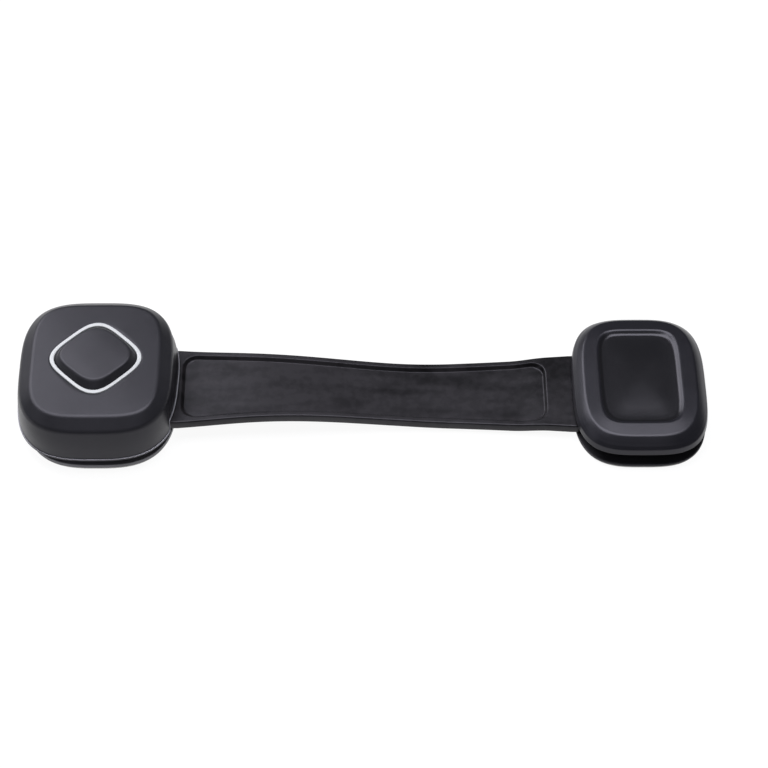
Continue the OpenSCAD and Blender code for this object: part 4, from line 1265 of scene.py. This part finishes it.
class LOCK_OT_stage(bpy.types.Operator):
    """Sets up the white floor, the softboxes and the camera"""

    bl_idname = "lock.stage"
    bl_label = "Stage"

    def execute(self, context):
        settings = context.scene.lock_stage
        self.floor(context.scene.lock_colours.floor)
        self.room(context.scene, settings.room)
        for softbox in SOFTBOXES:
            self.softbox(*softbox)
        self.camera(context.scene, settings)
        look = context.scene.view_settings
        look.view_transform = "Standard"
        look.look = "None"
        return {"FINISHED"}

    def floor(self, colour):
        finish = Finish("Studio floor")
        clouds = finish.noise(1.5)
        finish.set(
            Base_Color=finish.toned(clouds, colour, 0.99, 1.01),
            Roughness=0.85,
            Specular_IOR_Level=0.1,
            Emission_Color=(1.0, 1.0, 1.0),
            Emission_Strength=0.93,
        )
        ring = circle(FLOOR_RADIUS, np.linspace(0, 2 * math.pi, FLOOR_SIDES, endpoint=False))
        rings = [at_height(ring * share, -FLOOR_DROP) for share in (0.05, 0.25, 1.0)]
        disc = Shape().rings(rings, capped=False)
        disc.faces.append(tuple(range(FLOOR_SIDES)))
        made = disc.build("floor")
        made.data.materials.append(finish.material)

    def room(self, scene, brightness):
        """Even, faintly cool light from the studio's walls."""
        world = scene.world or bpy.data.worlds.new("Studio")
        scene.world = world
        world.use_nodes = True
        tree = world.node_tree
        tree.nodes.clear()
        back = tree.nodes.new("ShaderNodeBackground")
        back.inputs["Color"].default_value = (0.97, 0.98, 1.0, 1.0)
        back.inputs["Strength"].default_value = brightness
        out = tree.nodes.new("ShaderNodeOutputWorld")
        tree.links.new(back.outputs[0], out.inputs["Surface"])

    def softbox(self, name, azimuth, elevation, distance, width, height, radiance):
        """Area light aimed at the lock."""
        a, e = math.radians(azimuth), math.radians(elevation)
        way = Vector((-math.sin(a) * math.cos(e), math.cos(a) * math.cos(e), math.sin(e)))
        data = bpy.data.lights.new(name, "AREA")
        data.shape = "RECTANGLE"
        data.size, data.size_y = width, height
        data.energy = radiance * math.pi * width * height
        data.color = (0.95, 0.95, 1.0)
        light = bpy.data.objects.new(name, data)
        light.location = way * distance
        light.rotation_euler = (-way).to_track_quat("-Z", "Y").to_euler()
        bpy.context.collection.objects.link(light)

    def camera(self, scene, settings):
        data = bpy.data.cameras.new("Camera")
        data.sensor_width = 36
        data.lens = settings.lens
        data.shift_x, data.shift_y = settings.shift_x, settings.shift_y
        data.clip_start, data.clip_end = 0.01, 50
        a, e = settings.azimuth, settings.elevation
        back = Vector((math.sin(a) * math.cos(e), -math.cos(a) * math.cos(e), math.sin(e)))
        camera = bpy.data.objects.new("Camera", data)
        camera.location = back * settings.distance
        camera.rotation_mode = "QUATERNION"
        camera.rotation_quaternion = (-back).to_track_quat("-Z", "Y")
        scene.collection.objects.link(camera)
        scene.camera = camera


OPERATORS = (LOCK_OT_housing, LOCK_OT_ring, LOCK_OT_button, LOCK_OT_strap, LOCK_OT_cap,
             LOCK_OT_plates, LOCK_OT_pads, LOCK_OT_spring, LOCK_OT_inner, LOCK_OT_stage)


class LOCK_PT_panel(bpy.types.Panel):
    """Lists the pieces, and the sizes and colours that they are made from"""

    bl_idname = "LOCK_PT_panel"
    bl_label = "Strap Lock"
    bl_space_type = "VIEW_3D"
    bl_region_type = "UI"
    bl_category = "Strap Lock"

    def draw(self, context):
        for operator in OPERATORS:
            self.layout.operator(operator.bl_idname)
        for group, kind in GROUPS.items():
            box = self.layout.box()
            box.label(text=kind.__doc__)
            for name in kind.__annotations__:
                box.prop(getattr(context.scene, group), name)


CLASSES = (*GROUPS.values(), *OPERATORS, LOCK_PT_panel)


def register():
    for kind in CLASSES:
        bpy.utils.register_class(kind)
    for group, kind in GROUPS.items():
        setattr(bpy.types.Scene, group, PointerProperty(type=kind))


def unregister():
    for group in GROUPS:
        delattr(bpy.types.Scene, group)
    for kind in reversed(CLASSES):
        bpy.utils.unregister_class(kind)


def main():
    register()
    for operator in OPERATORS:
        family, name = operator.bl_idname.split(".")
        getattr(getattr(bpy.ops, family), name)()


if __name__ == "__main__":
    main()
